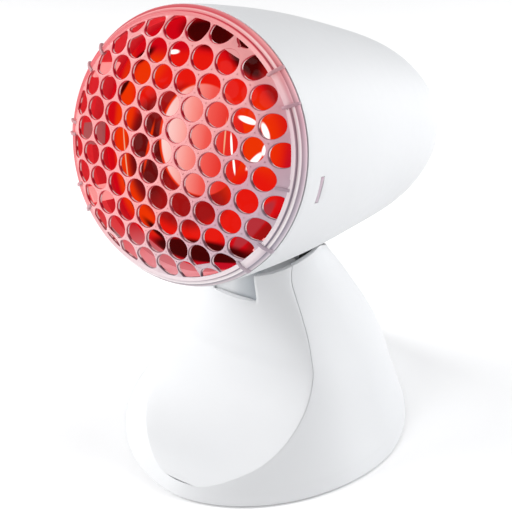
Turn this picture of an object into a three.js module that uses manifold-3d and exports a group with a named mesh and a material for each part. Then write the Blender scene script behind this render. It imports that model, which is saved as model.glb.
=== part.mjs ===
// Infrared heat therapy lamp: a bullet-shaped head with a clear honeycomb guard
// tilts on a flared stand. Millimetres, +Z up, and the guard faces -Y. The pieces
// are placed from the middle of the stand's foot, and the whole lamp is then set
// with its origin on the table under the middle of its overall length.

import * as THREE from 'three';
import { mergeVertices } from 'three/addons/utils/BufferGeometryUtils.js';
import Module from 'manifold-3d';

const wasm = await Module();
wasm.setup();

// Fits shared by every piece
const gap = 0.3; // between pieces that touch
const overrun = 6; // how far a cutting solid runs past what it cuts
const fastenerSides = 8;
const roundSides = 16;
const wireSides = 6;
const footSides = 12;

// Stand: a flared shell with an arched panel let into its front
const standWidth = 129.4;
const standDepth = 143.4;
const standHeight = 103;
const standWall = 3; // measured level, so about 2.4 across the sloping wall
const standSquareness = 1.81; // 2 would make each level section an ellipse
const standSides = 40;
const footLift = 1; // the shell's rim clears the table by this
const neckHalfWidthShare = 0.408;
const neckHalfDepthShare = 0.314;
const neckForwardShare = 0.17;
// share of the height, then half-width, half-depth and forward lean at that level,
// each as a share of how far it goes from the foot to the neck
const standShares = [
  [0, 0, 0, 0],
  [0.14, 0.2, 0.116, -0.22],
  [0.34, 0.436, 0.319, -0.51],
  [0.58, 0.776, 0.583, -0.303],
  [0.8, 0.985, 0.827, 0.246],
  [1, 1, 1, 1],
];

// Front panel: the arch's half-width and height, as shares, from the foot up
const archHalfWidth = standWidth * 0.286;
const archFoot = 6; // height of the arch's lowest point above the table
const archTop = standHeight;
const panelWall = 3; // measured level
const panelBulge = 13; // how far the panel stands forward at its top
const archShares = [
  [0.06, 0],
  [0.26, 0.006],
  [0.52, 0.035],
  [0.77, 0.083],
  [0.91, 0.14],
  [0.985, 0.215],
  [1, 0.29],
  [0.965, 0.38],
  [0.897, 0.454],
  [0.805, 0.55],
  [0.722, 0.64],
  [0.65, 0.73],
  [0.614, 0.804],
  [0.63, 0.88],
  [0.69, 0.96],
  [0.72, 1],
];
const bulgeShares = [
  [0, 0.02],
  [0.15, 0.115],
  [0.4, 0.46],
  [0.66, 0.72],
  [1, 1],
];
const bulgeRounding = 0.75;
const panelColumns = 8;

// Head housing, measured backwards from its front edge along its own axis
const headRadius = 50.4;
const headLength = 188;
const headDroop = 3.2; // the tail hangs this far below the axis
const headWall = 2.2;
const headRounding = 0.4;
const headSides = 32;
// sine of the latitude, then how much fuller the housing is than a plain egg there
const headFullnessShares = [
  [0, 1],
  [0.25, 1.012],
  [0.5, 1.021],
  [0.7, 1.075],
  [0.86, 1.142],
  [1, 1.313],
];
const headRows = 11;

// Where the head sits, and how it tilts
const restTilt = 15.6; // degrees above level
const tiltStep = 5; // degrees between clicks
const clicks = 5;
const pivotDrop = 31; // the pivot is this far below the stand's top
const headRise = 79.1; // and the middle of the housing's edge this far above the pivot
const headFrontY = -55.9;
const pivotY = -1;
const pivotZ = standHeight - pivotDrop;
const headFrontZ = pivotZ + headRise;
const saddleClearance = 1;

// Honeycomb guard
const holePitch = 9.52;
const holeRadius = 4.35;
const holeSides = 8;
const guardPlate = 2.4;
const domeHeight = 13.6; // the dome's top in front of the housing's edge
const domeDrop = 0.3; // per square pitch away from the middle
const fieldRadius = 46.2; // inside the guard's solid flange
const holesPerRow = [6, 7, 8, 9, 10, 9, 10, 9, 8, 7, 6]; // from the top row down
const guardRadius = 50.1;
const flangeRadius = 48.7;
const flangeDrop = 0.5;
const beadStep = 1.6;
const beadRadius = 0.7;
const spigotRadius = 47.3;
const spigotWall = 1.4;
const spigotDepth = 5;
const ribPairAngles = [0, 37, 143, 180, 217, 323];
const ribSpread = 5.5; // degrees from the middle of a pair to each rib
const ribWidth = 1.3;
const ribProud = 0.8; // above the flange
const ribOverhang = 1; // beyond the guard's edge

// Latches that hold the guard in slots of the housing
const latchAngles = [-5.8, 185.8];
const latchWidth = 9.6;
const latchDepth = 2.6;
const latchSetback = 11.6; // the slot's middle behind the housing's edge
const latchArm = 1.3;
const slotPlay = 0.35;

// Infrared reflector bulb, 95 mm
const bulbRadius = 47.5;
const bulbGlass = 1.6;
const bulbFaceSetback = 5; // the face's middle behind the housing's edge
const bulbFaceDrop = 7;
const bulbSeamSetback = 19;
const bulbNeckRadius = 16.5;
const capSetback = headLength * 0.5532; // the cap's edge behind the housing's
const bulbNeckLength = 12; // from the reflector's narrow end to the cap
const glassInCap = 5; // how far the glass goes into the cap
const bulbNeckSetback = capSetback - bulbNeckLength;
const bulbGlassEnd = capSetback + glassInCap;
const bulbSides = 20;
const reflectorShares = [
  [0, 1],
  [0.15, 0.975],
  [0.4, 0.78],
  [0.7, 0.485],
  [0.87, 0.37],
  [1, 0.347],
];

// Screw cap and holder, E27
const capRadius = 13.2;
const capWall = 0.6;
const capLength = 26;
const capInsulatorLength = 3.4;
const capInsulatorRadius = 10.4;
const tipRadius = 4.6;
const tipLength = 1.3;
const sleeveRadius = capRadius + gap;
const sleeveWall = 0.5;
const sleeveLength = 24;
const socketRadius = 19.5;
const socketBore = sleeveRadius + sleeveWall + gap;
const socketEdge = 1.5;
const rivetHoleRadius = 2.4;
const socketFrontSetback = capSetback + socketEdge;
const socketLength = 40;
const socketFloor = 7;
const contactWidth = 6;
const contactThickness = 0.5;

// Filament and its stem inside the bulb
const throatRadius = capRadius - capWall - gap - bulbGlass;
const stemRadius = throatRadius - gap;
const stemWall = 1.2;
const stemLength = 34;
const postRadius = 0.5;
const postSpread = 9;
const filamentSetback = capSetback / 2;
const filamentWireRadius = 0.55;
const filamentSag = 6;

// Socket bracket and its screws
const bracketThickness = 1.2;
const bracketWidth = 16;
const bracketClearance = 2.2; // between its rounded ends and the housing
const bossRadius = 3.4;
const pilotRadius = 1.25;
const screwRadius = 1.1;
const screwHeadRadius = 2.7;
const screwHeadHeight = 1.8;
const screwLength = 9;
const screwHoleRadius = 1.6;

// Rear vents
const ventCount = 9;
const ventWidth = 2.6;
const ventInnerRadius = 7;
const ventOuterRadius = 21;

// Tilt arm, its axle and its click mechanism
const armWidth = standWidth * 0.147;
const armFront = 17; // ahead of the pivot at the housing
const armRear = 14; // behind the pivot at the housing
const detentRadius = 12;
const notchRadius = 1.1;
const axleRadius = 2.5;
const axleClearance = 0.1;
const cheekThickness = 2.4;
const cheekGap = 0.6;
const cheekWidth = 18;
const bracketDrop = 21; // the bracket's underside is this far below the pivot
const bracketLevel = pivotZ - bracketDrop;
const lugMargin = 5.4; // bracket beyond the middle of each screw
const lugBossRadius = 3.2;
const lugRise = 9; // the bosses meet the wall this far above the pivot
const axleHeadRadius = 4;
const axleHeadLength = 1.6;
const clipThickness = 0.8;
const clipRadius = 4.2;
const grooveDepth = 0.6;
const springThickness = 0.6;
const springWidth = 8;
const notchClearance = 0.5; // beside the arm, in the front panel
const notchHalfWidth = armWidth / 2 + notchClearance;
const notchFloor = pivotZ + notchClearance * 2;
const cableHoleRadius = 2.6;

// Bottom plate, feet and the cord's inlet
const plateThickness = 2.2;
const plateLip = 2.2; // the plate's underside sits this far up inside the rim
const footPadRadius = 6.5;
const footPadHeight = 3.2;
const footPadRecess = 1.2;
const footX = standWidth * 0.155;
const footY = standDepth * 0.293;
const standBossRadius = 4;
const standScrewX = standWidth * 0.355;
const standScrewY = standDepth * 0.181;
const standScrewLength = 12;
const inletHeight = 13;
const inletRadius = 4.8;
const inletBoreRadius = 3.6;
const inletCollarRadius = 6.2;
const inletReach = 3;
const terminalWidth = 20;
const terminalDepth = 12;
const terminalHeight = 10;

const quarterTurn = Math.PI / 2;
const fullTurn = Math.PI * 2;

// Materials

function finish(color, roughness, metalness = 0) {
  return new THREE.MeshStandardMaterial({ color, roughness, metalness });
}

const materials = {
  whitePlastic: finish(0xf1f1f6, 0.3),
  clearGuard: finish(0xe8c8cc, 0.1),
  redGlass: finish(0xd01208, 0.08),
  silveredGlass: finish(0xd8d2d0, 0.15, 0.9),
  clearGlass: finish(0xdfe6e6, 0.05),
  tungsten: finish(0xfff0d0, 0.4, 0.6),
  nickel: finish(0xbdb8ae, 0.3, 0.9),
  brass: finish(0xc9a558, 0.35, 0.9),
  ceramic: finish(0xe9e6dd, 0.5),
  blackGlass: finish(0x202024, 0.2),
  steel: finish(0xa9adb2, 0.35, 0.9),
  rubber: finish(0x3a3b3e, 0.9),
  greyPlastic: finish(0xb9c0c4, 0.4),
};

// Shape helpers

function degrees(angle) {
  return THREE.MathUtils.degToRad(angle);
}

// A smooth curve through a table of [x, y] pairs
function smoothCurve(table, column = 1) {
  const slopeAt = (i) => {
    const before = table[Math.max(i - 1, 0)];
    const after = table[Math.min(i + 1, table.length - 1)];
    return (after[column] - before[column]) / (after[0] - before[0]);
  };
  return (x) => {
    const found = table.findIndex((row) => row[0] > x);
    const i = found < 1 ? (found === 0 ? 1 : table.length - 1) : found;
    const width = table[i][0] - table[i - 1][0];
    const t = (x - table[i - 1][0]) / width;
    const start = table[i - 1][column];
    const rise = table[i][column] - start;
    const startSlope = slopeAt(i - 1) * width;
    const endSlope = slopeAt(i) * width;
    return start + t * startSlope + t * t * (3 * rise - 2 * startSlope - endSlope)
      + t * t * t * (startSlope + endSlope - 2 * rise);
  };
}

// A closed body from a geometry, with shared corners merged and empty faces dropped
function solid(geometry) {
  const bare = new THREE.BufferGeometry();
  bare.setAttribute('position', geometry.getAttribute('position').clone());
  if (geometry.index) bare.setIndex(geometry.index.clone());
  const merged = mergeVertices(bare, 1e-4);
  const faces = [];
  for (let i = 0; i < merged.index.count; i += 3) {
    const [a, b, c] = [0, 1, 2].map((k) => merged.index.getX(i + k));
    if (a !== b && b !== c && c !== a) faces.push(a, b, c);
  }
  return new wasm.Manifold(new wasm.Mesh({
    numProp: 3,
    vertProperties: new Float32Array(merged.getAttribute('position').array),
    triVerts: new Uint32Array(faces),
  }));
}

// A geometry from a closed body
function surface(body) {
  const mesh = body.getMesh();
  const geometry = new THREE.BufferGeometry();
  geometry.setAttribute('position', new THREE.BufferAttribute(mesh.vertProperties, 3));
  geometry.setIndex(new THREE.BufferAttribute(mesh.triVerts, 1));
  geometry.computeVertexNormals();
  return geometry;
}

// Rings of equal count become a closed skin with a flat fan at each end
function loft(rings) {
  const count = rings[0].length;
  const points = rings.flat();
  const faces = [];
  for (let r = 0; r + 1 < rings.length; r += 1) {
    for (let i = 0; i < count; i += 1) {
      const next = (i + 1) % count;
      const low = r * count;
      const high = low + count;
      faces.push(low + i, low + next, high + next, low + i, high + next, high + i);
    }
  }
  const middle = (ring) => ring.reduce((sum, p) => sum.add(p), new THREE.Vector3()).divideScalar(count);
  const last = (rings.length - 1) * count;
  points.push(middle(rings[0]), middle(rings[rings.length - 1]));
  for (let i = 0; i < count; i += 1) {
    const next = (i + 1) % count;
    faces.push(next, i, points.length - 2, last + i, last + next, points.length - 1);
  }
  const geometry = new THREE.BufferGeometry().setFromPoints(points);
  geometry.setIndex(faces);
  return geometry;
}

// A turned piece about Z from an outline of [radius, z] points, given either way round
function turned(outline, sides = roundSides) {
  const points = outline.map(([radius, z]) => new THREE.Vector2(radius, z));
  const onAxis = outline[0][0] === 0 && outline[outline.length - 1][0] === 0;
  if (!onAxis) points.push(points[0].clone());
  if (THREE.ShapeUtils.area(points) < 0) points.reverse();
  return new THREE.LatheGeometry(points, sides).rotateX(quarterTurn);
}

// A round bar about Z from low to high
function bar(radius, low, high, sides = roundSides) {
  return new THREE.CylinderGeometry(radius, radius, high - low, sides)
    .rotateX(quarterTurn).translate(0, 0, (low + high) / 2);
}

// Points round a circle in the XY plane, for outlines and holes
function circle(x, y, radius, sides = roundSides) {
  return Array.from({ length: sides }, (_, i) => {
    const angle = (i / sides) * fullTurn;
    return new THREE.Vector2(x + radius * Math.cos(angle), y + radius * Math.sin(angle));
  });
}

function block(width, depth, height, x, y, z) {
  return new THREE.BoxGeometry(width, depth, height).translate(x, y, z);
}

// An outline of [y, z] points pushed out along X, centred on x = 0
function sidePlate(outline, width, holes = []) {
  const shape = new THREE.Shape(outline.map(([y, z]) => new THREE.Vector2(y, z)));
  shape.holes = holes.map(([y, z, radius]) => new THREE.Path(circle(y, z, radius)));
  return new THREE.ExtrudeGeometry(shape, { depth: width, bevelEnabled: false })
    .translate(0, 0, -width / 2)
    .applyMatrix4(new THREE.Matrix4().makeBasis(
      new THREE.Vector3(0, 1, 0),
      new THREE.Vector3(0, 0, 1),
      new THREE.Vector3(1, 0, 0),
    ));
}

// A bar of round section along a path
function wire(points, radius, steps) {
  const section = new THREE.Shape(circle(0, 0, radius, wireSides));
  const path = new THREE.CatmullRomCurve3(points);
  return new THREE.ExtrudeGeometry(section, { steps, extrudePath: path });
}

// A screw about Z: the head's top is at z = 0 and the shank points down
function screw(length, sides = fastenerSides) {
  return turned([
    [0, 0],
    [screwRadius, 0],
    [screwHeadRadius, -screwHeadHeight],
    [screwRadius, -screwHeadHeight],
    [screwRadius, -length + screwRadius],
    [0, -length],
  ], sides);
}

// Head placement

const headTurn = quarterTurn - degrees(restTilt);

function headMatrix(extraTilt = 0) {
  const home = new THREE.Matrix4().makeRotationX(headTurn).setPosition(0, headFrontY, headFrontZ);
  const toPivot = new THREE.Matrix4().makeTranslation(0, -pivotY, -pivotZ);
  const tilt = new THREE.Matrix4().makeRotationX(-degrees(extraTilt));
  const back = new THREE.Matrix4().makeTranslation(0, pivotY, pivotZ);
  return back.multiply(tilt).multiply(toPivot).multiply(home);
}

// Head housing, front edge at z = 0 and tail towards -Z

const headFullness = smoothCurve(headFullnessShares);

function headSection(latitude, grow) {
  const sine = Math.sin(latitude);
  const radius = headRadius * headFullness(sine) * Math.cos(latitude) ** (2 * headRounding);
  return { radius: radius + grow, behind: (headLength + grow) * sine, droop: headDroop * sine * sine };
}

function headRadiusAt(behind) {
  return headSection(Math.asin(behind / headLength), 0).radius;
}

function headRing(radius, behind, droop, sides) {
  const ring = [];
  for (let i = 0; i < sides; i += 1) {
    const angle = (i / sides) * fullTurn;
    ring.push(new THREE.Vector3(radius * Math.cos(angle), radius * Math.sin(angle) - droop, -behind));
  }
  return ring;
}

function headSkin(grow, frontEdge, rows = headRows, sides = headSides) {
  const tailLatitude = quarterTurn * 0.985;
  const rings = [];
  for (let row = 0; row <= rows; row += 1) {
    const latitude = (row / rows) * tailLatitude;
    const { radius, behind, droop } = headSection(latitude, grow);
    rings.push(headRing(radius, row === 0 ? -frontEdge : behind, droop, sides));
  }
  return loft(rings.reverse());
}

// Latch positions are shared by the housing's slots and the guard's tabs
function aroundHead(geometry, angle) {
  return geometry.rotateZ(degrees(angle));
}

function latchSlots() {
  return latchAngles.map((angle) => solid(aroundHead(block(
    overrun * 2,
    latchWidth,
    latchDepth,
    headRadius,
    0,
    -latchSetback,
  ), angle)));
}

function rearVents() {
  return Array.from({ length: ventCount }, (_, i) => {
    const length = ventOuterRadius - ventInnerRadius;
    const slot = block(length, ventWidth, headLength / 3, (ventOuterRadius + ventInnerRadius) / 2, 0, 0);
    slot.rotateZ((i / ventCount) * fullTurn + quarterTurn);
    return solid(slot.translate(0, -headDroop, -headLength));
  });
}

const bracketSetback = socketFrontSetback + socketLength + gap;
const bracketBossSetback = bracketSetback + bracketThickness + gap;
const bracketSpread = headRadiusAt(bracketSetback) - headWall - bracketWidth / 2 - bracketClearance;

function bracketBosses(headOuter) {
  return [-1, 1].map((side) => {
    const boss = bar(bossRadius, -headLength, -bracketBossSetback, fastenerSides);
    const low = -bracketBossSetback - screwLength;
    const hole = bar(pilotRadius, low, overrun - bracketBossSetback, fastenerSides);
    return solid(boss.translate(side * bracketSpread, 0, 0)).intersect(headOuter)
      .subtract(solid(hole.translate(side * bracketSpread, 0, 0)));
  });
}

// Screws that hold the tilt arm, square to the housing's underside
const armScrewSetbacks = [58, 69];
const cableSetback = 80;

function armScrewPlace(behind) {
  const level = -headRadiusAt(behind) + headWall + screwHeadHeight + gap;
  return new THREE.Matrix4().makeTranslation(0, level, -behind)
    .multiply(new THREE.Matrix4().makeRotationX(-quarterTurn));
}

function armScrewHole(behind, radius, depth) {
  const hole = bar(radius, -depth, overrun, fastenerSides);
  return solid(hole.applyMatrix4(armScrewPlace(behind)));
}

function headShell() {
  const outer = solid(headSkin(0, 0));
  let body = outer.subtract(solid(headSkin(-headWall, overrun, headRows, headSides - 8)));
  bracketBosses(outer).forEach((boss) => { body = body.add(boss); });
  [...latchSlots(), ...rearVents()].forEach((cut) => { body = body.subtract(cut); });
  armScrewSetbacks.forEach((behind) => {
    body = body.subtract(armScrewHole(behind, screwHoleRadius, screwLength));
  });
  return surface(body.subtract(armScrewHole(cableSetback, cableHoleRadius, screwLength)));
}

// Guard

function domeZ(x, y) {
  return domeHeight - domeDrop * (x * x + y * y) / (holePitch * holePitch);
}

function guardHoles() {
  const middle = (holesPerRow.length - 1) / 2;
  return holesPerRow.flatMap((count, row) => Array.from({ length: count }, (_, i) => new THREE.Vector2(
    (i - (count - 1) / 2) * holePitch,
    (middle - row) * holePitch * Math.sin(fullTurn / 6),
  )));
}

// The honeycomb is cut flat and then bent onto the dome; holes that cross its
// edge are cut afterwards
function honeycomb() {
  const shape = new THREE.Shape(circle(0, 0, flangeRadius, headSides));
  const isWhole = (hole) => hole.length() + holeRadius < flangeRadius - gap;
  shape.holes = guardHoles().filter(isWhole)
    .map((hole) => new THREE.Path(circle(hole.x, hole.y, holeRadius, holeSides)));
  const plate = new THREE.ExtrudeGeometry(shape, { depth: guardPlate, bevelEnabled: false });
  const place = plate.getAttribute('position');
  for (let i = 0; i < place.count; i += 1) {
    const [x, y, z] = [place.getX(i), place.getY(i), place.getZ(i)];
    place.setZ(i, z - guardPlate + domeZ(x, y));
  }
  let body = solid(plate);
  guardHoles().filter((hole) => !isWhole(hole)).forEach((hole) => {
    const cut = bar(holeRadius, -overrun, domeHeight + overrun, holeSides);
    body = body.subtract(solid(cut.translate(hole.x, hole.y, 0)));
  });
  return body;
}

// The solid ring round the honeycomb: flange, bead and the spigot inside the housing
function guardRim() {
  const fieldTop = domeZ(fieldRadius, 0);
  const flangeTop = fieldTop - flangeDrop;
  const beadTop = flangeTop - beadStep;
  return turned([
    [fieldRadius, fieldTop - guardPlate - gap],
    [spigotRadius - spigotWall, gap],
    [spigotRadius - spigotWall, -spigotDepth],
    [spigotRadius, -spigotDepth],
    [spigotRadius, gap],
    [guardRadius, gap],
    [guardRadius, beadTop - beadRadius],
    [guardRadius - beadRadius, beadTop],
    [flangeRadius + beadRadius / 2, beadTop],
    [flangeRadius, flangeTop],
    [fieldRadius, fieldTop + gap / 2],
  ], headSides);
}

// Ribs stand on the flange in pairs and run down over its edge; between the two
// of a pair the flange is carried out over the bead
function guardRibs() {
  const level = domeZ(fieldRadius, 0) - flangeDrop;
  const inner = fieldRadius - gap;
  const outer = guardRadius + ribOverhang;
  const foot = guardRadius - beadRadius * 2;
  const outline = [
    [inner, level - beadStep],
    [inner, level + ribProud],
    [guardRadius, level + ribProud],
    [outer, level - beadStep / 2],
    [outer, gap * 2],
    [foot, gap * 2],
  ];
  const bridgeEdge = guardRadius - gap * 2;
  const bridge = block(
    bridgeEdge - flangeRadius + gap,
    bridgeEdge * 2 * Math.sin(degrees(ribSpread)),
    beadStep + beadRadius,
    (bridgeEdge + flangeRadius - gap) / 2,
    0,
    level - gap / 2 - (beadStep + beadRadius) / 2,
  );
  return ribPairAngles.flatMap((middle) => [
    aroundHead(bridge.clone(), middle),
    ...[-1, 1].map((side) => aroundHead(
      sidePlate(outline, ribWidth).rotateZ(-quarterTurn),
      middle + side * ribSpread,
    )),
  ]).map(solid);
}

// Each latch is an arm behind the spigot with a hook that fills the housing's slot
function guardLatches() {
  const armOuter = spigotRadius - gap;
  const hookDepth = latchDepth - 2 * slotPlay;
  return latchAngles.map((angle) => {
    const armLength = latchSetback + latchDepth / 2;
    const width = latchWidth - 2 * slotPlay;
    const arm = block(latchArm, width, armLength, armOuter - latchArm / 2, 0, -armLength / 2);
    const hookReach = headRadius - armOuter + latchArm / 2 - gap;
    const hookMiddle = armOuter - latchArm / 2 + hookReach / 2;
    const hook = block(hookReach, width, hookDepth, hookMiddle, 0, -latchSetback);
    return solid(aroundHead(arm, angle)).add(solid(aroundHead(hook, angle)));
  });
}

function guard() {
  let body = honeycomb().add(solid(guardRim()));
  [...guardRibs(), ...guardLatches()].forEach((part) => { body = body.add(part); });
  return surface(body);
}

// Bulb

// Outer outline of the red face, from its middle to the seam
function faceOutline(inset) {
  const rise = bulbSeamSetback - bulbFaceSetback - bulbFaceDrop;
  const steps = 5;
  const points = [];
  for (let i = 0; i <= steps; i += 1) {
    const turn = (i / steps) * quarterTurn;
    const radius = (bulbRadius - inset) * Math.sin(turn);
    const flat = bulbFaceDrop * (1 - Math.cos(turn));
    const corner = rise * (1 - Math.cos(turn) ** 0.5);
    points.push([radius, -bulbFaceSetback - inset - flat - corner]);
  }
  return points;
}

function bulbFace() {
  const outside = faceOutline(0);
  const inside = faceOutline(bulbGlass).reverse();
  const seam = -bulbSeamSetback - bulbGlass;
  return turned([
    ...outside.slice(0, -1),
    [bulbRadius, -bulbSeamSetback],
    [bulbRadius, seam],
    [bulbRadius - bulbGlass, seam],
    ...inside,
  ], bulbSides);
}

function reflectorOutline(inset) {
  const start = bulbSeamSetback + bulbGlass + gap;
  const length = bulbNeckSetback - start;
  return reflectorShares.map(([along, width]) => [
    bulbRadius * width - inset,
    -start - length * along,
  ]);
}

function bulbReflector() {
  const outside = reflectorOutline(0);
  const inside = reflectorOutline(bulbGlass).reverse();
  return turned([
    ...outside,
    [bulbNeckRadius, -capSetback + bulbGlass * 2],
    [throatRadius + bulbGlass, -capSetback + bulbGlass / 2],
    [throatRadius + bulbGlass, -bulbGlassEnd],
    [throatRadius, -bulbGlassEnd],
    [throatRadius, -capSetback + bulbGlass / 2],
    [bulbNeckRadius - bulbGlass, -capSetback + bulbGlass * 3],
    ...inside,
  ], bulbSides);
}

const capEnd = capSetback + capLength;

function bulbCap() {
  return turned([
    [capRadius - capWall, -capSetback],
    [capRadius, -capSetback],
    [capRadius, -capEnd + capWall * 3],
    [capInsulatorRadius + capWall, -capEnd],
    [capInsulatorRadius + gap, -capEnd],
    [capRadius - capWall, -capEnd + capWall * 5],
  ], bulbSides);
}

function capInsulator() {
  return turned([
    [0, -capEnd + capWall],
    [capInsulatorRadius, -capEnd + capWall],
    [capInsulatorRadius, -capEnd],
    [tipRadius + capWall, -capEnd - capInsulatorLength],
    [0, -capEnd - capInsulatorLength],
  ]);
}

function capTip() {
  const top = -capEnd - capInsulatorLength - gap;
  return turned([
    [0, top],
    [tipRadius, top],
    [tipRadius, top - tipLength / 2],
    [tipRadius / 2, top - tipLength],
    [0, top - tipLength],
  ], fastenerSides);
}

function bulbStem() {
  const rear = -bulbGlassEnd;
  return turned([
    [0, rear + stemLength],
    [stemRadius / 3, rear + stemLength - stemWall],
    [stemRadius / 2, rear + stemLength / 3],
    [stemRadius, rear + stemWall],
    [stemRadius, rear],
    [stemRadius - stemWall, rear],
    [stemRadius / 2 - stemWall, rear + stemLength / 3],
    [0, rear + stemLength / 2],
  ], fastenerSides);
}

function filamentPost(side) {
  const rear = -bulbGlassEnd;
  return wire([
    new THREE.Vector3(side * (stemRadius / 2 + postRadius + gap), 0, rear + stemLength / 3),
    new THREE.Vector3(side * (stemRadius / 3 + postRadius + gap), 0, rear + stemLength - stemWall),
    new THREE.Vector3(side * postSpread, 0, -filamentSetback - postRadius - filamentWireRadius - gap),
  ], postRadius, 4);
}

function filament() {
  const points = [];
  const count = 7;
  for (let i = 0; i < count; i += 1) {
    const along = (i / (count - 1)) * 2 - 1;
    points.push(new THREE.Vector3(along * postSpread, filamentSag * (along * along - 1), -filamentSetback));
  }
  return wire(points, filamentWireRadius, 12);
}

// Lamp holder

const socketRear = socketFrontSetback + socketLength;

function socketBody() {
  return turned([
    [socketBore, -socketFrontSetback],
    [socketRadius - socketEdge, -socketFrontSetback],
    [socketRadius, -socketFrontSetback - socketEdge],
    [socketRadius, -socketRear + socketEdge],
    [socketRadius - socketEdge, -socketRear],
    [rivetHoleRadius, -socketRear],
    [rivetHoleRadius, -socketRear + socketFloor],
    [socketBore, -socketRear + socketFloor],
  ]);
}

function socketSleeve() {
  const front = -socketFrontSetback - sleeveWall * 2;
  return turned([
    [sleeveRadius, front],
    [sleeveRadius + sleeveWall, front],
    [sleeveRadius + sleeveWall, front - sleeveLength],
    [sleeveRadius, front - sleeveLength],
  ]);
}

function socketContact() {
  const seat = -socketRear + socketFloor + gap;
  const top = -capEnd - capInsulatorLength - tipLength - contactThickness - gap * 2;
  const reach = sleeveRadius - sleeveWall * 2;
  return sidePlate([
    [-reach, seat],
    [reach / 2, seat],
    [reach / 2, seat + contactThickness],
    [-reach / 2, seat + contactThickness],
    [tipRadius / 2, top],
    [tipRadius / 2, top + contactThickness],
    [-reach, seat + contactThickness * 2],
  ], contactWidth);
}

function socketBracket() {
  const outline = new THREE.Shape();
  const half = bracketWidth / 2;
  const reach = bracketSpread;
  outline.moveTo(-reach, -half);
  outline.lineTo(reach, -half);
  outline.absarc(reach, 0, half, -quarterTurn, quarterTurn);
  outline.lineTo(-reach, half);
  outline.absarc(-reach, 0, half, quarterTurn, quarterTurn * 3);
  outline.holes = [
    new THREE.Path(circle(-reach, 0, screwHoleRadius, fastenerSides)),
    new THREE.Path(circle(reach, 0, screwHoleRadius, fastenerSides)),
    new THREE.Path(circle(0, 0, bossRadius, fastenerSides)),
  ];
  return new THREE.ExtrudeGeometry(outline, {
    depth: bracketThickness,
    bevelEnabled: false,
    curveSegments: fastenerSides / 2,
  }).translate(0, 0, -bracketSetback - bracketThickness);
}

// Stand

const standHalfWidth = standWidth / 2;
const standHalfDepth = standDepth / 2;
const standLevel = smoothCurve(standShares, 1);
const standDepthShare = smoothCurve(standShares, 2);
const standLean = smoothCurve(standShares, 3);

// Level section of the stand at a height: half-width, half-depth and where its middle is
function standSection(z, grow) {
  const share = z / standHeight;
  const towards = (low, high, part) => low + (high - low) * part;
  return {
    halfWidth: towards(standHalfWidth, standHalfWidth * neckHalfWidthShare, standLevel(share)) + grow,
    halfDepth: towards(standHalfDepth, standHalfDepth * neckHalfDepthShare, standDepthShare(share)) + grow,
    middle: -standHalfDepth * neckForwardShare * standLean(share),
  };
}

function standRing(z, grow, sides) {
  const { halfWidth, halfDepth, middle } = standSection(z, grow);
  const power = 2 / standSquareness;
  const ring = [];
  for (let i = 0; i < sides; i += 1) {
    const angle = (i / sides) * fullTurn;
    const [c, s] = [Math.cos(angle), Math.sin(angle)];
    ring.push(new THREE.Vector3(
      halfWidth * Math.sign(c) * Math.abs(c) ** power,
      middle + halfDepth * Math.sign(s) * Math.abs(s) ** power,
      z,
    ));
  }
  return ring;
}

function standSkin(grow, low, high, rows = 9, sides = standSides) {
  const rings = [];
  for (let row = 0; row <= rows; row += 1) {
    rings.push(standRing(low + (high - low) * (row / rows), grow, sides));
  }
  return loft(rings);
}

// Where the stand's front face is at a height and a distance from the middle
function standFrontY(x, z) {
  const { halfWidth, halfDepth, middle } = standSection(z, 0);
  const across = Math.min(Math.abs(x) / halfWidth, 1);
  return middle - halfDepth * (1 - across ** standSquareness) ** (1 / standSquareness);
}

// The arch's edge: half-width and height, from the foot up
const archEdge = archShares.map(([across, upShare]) => [
  archHalfWidth * across,
  archFoot + (archTop - archFoot) * upShare,
]);
const panelForward = smoothCurve(bulgeShares);

function panelRow(x, z, setback) {
  const edgeY = standFrontY(x, z);
  const forward = panelBulge * panelForward((z - archFoot) / (archTop - archFoot));
  const row = [];
  for (let i = 0; i <= panelColumns; i += 1) {
    const across = (i / panelColumns) * 2 - 1;
    const y = edgeY - forward * (1 - across * across) ** bulgeRounding + setback;
    row.push(new THREE.Vector3(across * x, y, z));
  }
  return row;
}

function panelSkin() {
  return loft(archEdge.map(([x, z]) => [...panelRow(x, z, 0), ...panelRow(x, z, panelWall).reverse()]));
}

// The opening in the shell that the panel fills
function archCutter() {
  const rings = archEdge.map(([x, z], i) => {
    const half = x + gap;
    const level = z - (i === 0 ? gap : 0);
    return [
      new THREE.Vector3(-half, -standDepth, level),
      new THREE.Vector3(half, -standDepth, level),
      new THREE.Vector3(half, standFrontY(x, z) + panelWall + overrun, level),
      new THREE.Vector3(-half, standFrontY(x, z) + panelWall + overrun, level),
    ];
  });
  return solid(loft(rings));
}

// Everything the housing sweeps over between its first and last click
function headSweep() {
  const skin = headSkin(saddleClearance, overrun, headRows - 4, headSides - 6);
  const halfRange = ((clicks - 1) / 2) * tiltStep;
  let sweep = null;
  for (let click = 0; click < clicks; click += 1) {
    const body = solid(skin.clone().applyMatrix4(headMatrix(click * tiltStep - halfRange)));
    sweep = sweep ? sweep.add(body) : body;
  }
  return sweep;
}

const swept = headSweep();
const plateUnderside = footLift + plateLip;
const plateTop = plateUnderside + plateThickness;
const corners = [[-1, -1], [1, -1], [1, 1], [-1, 1]];

// Half-width of the shell's inside at a height and a distance from the middle
function standInsideX(y, z) {
  const { halfWidth, halfDepth, middle } = standSection(z, -standWall);
  const along = Math.min(Math.abs(y - middle) / halfDepth, 1);
  return halfWidth * (1 - along ** standSquareness) ** (1 / standSquareness);
}

const lugY = pivotY + cheekWidth / 3;
const lugX = standInsideX(lugY, pivotZ + lugRise);
const lugTop = bracketLevel + cheekThickness;

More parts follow.
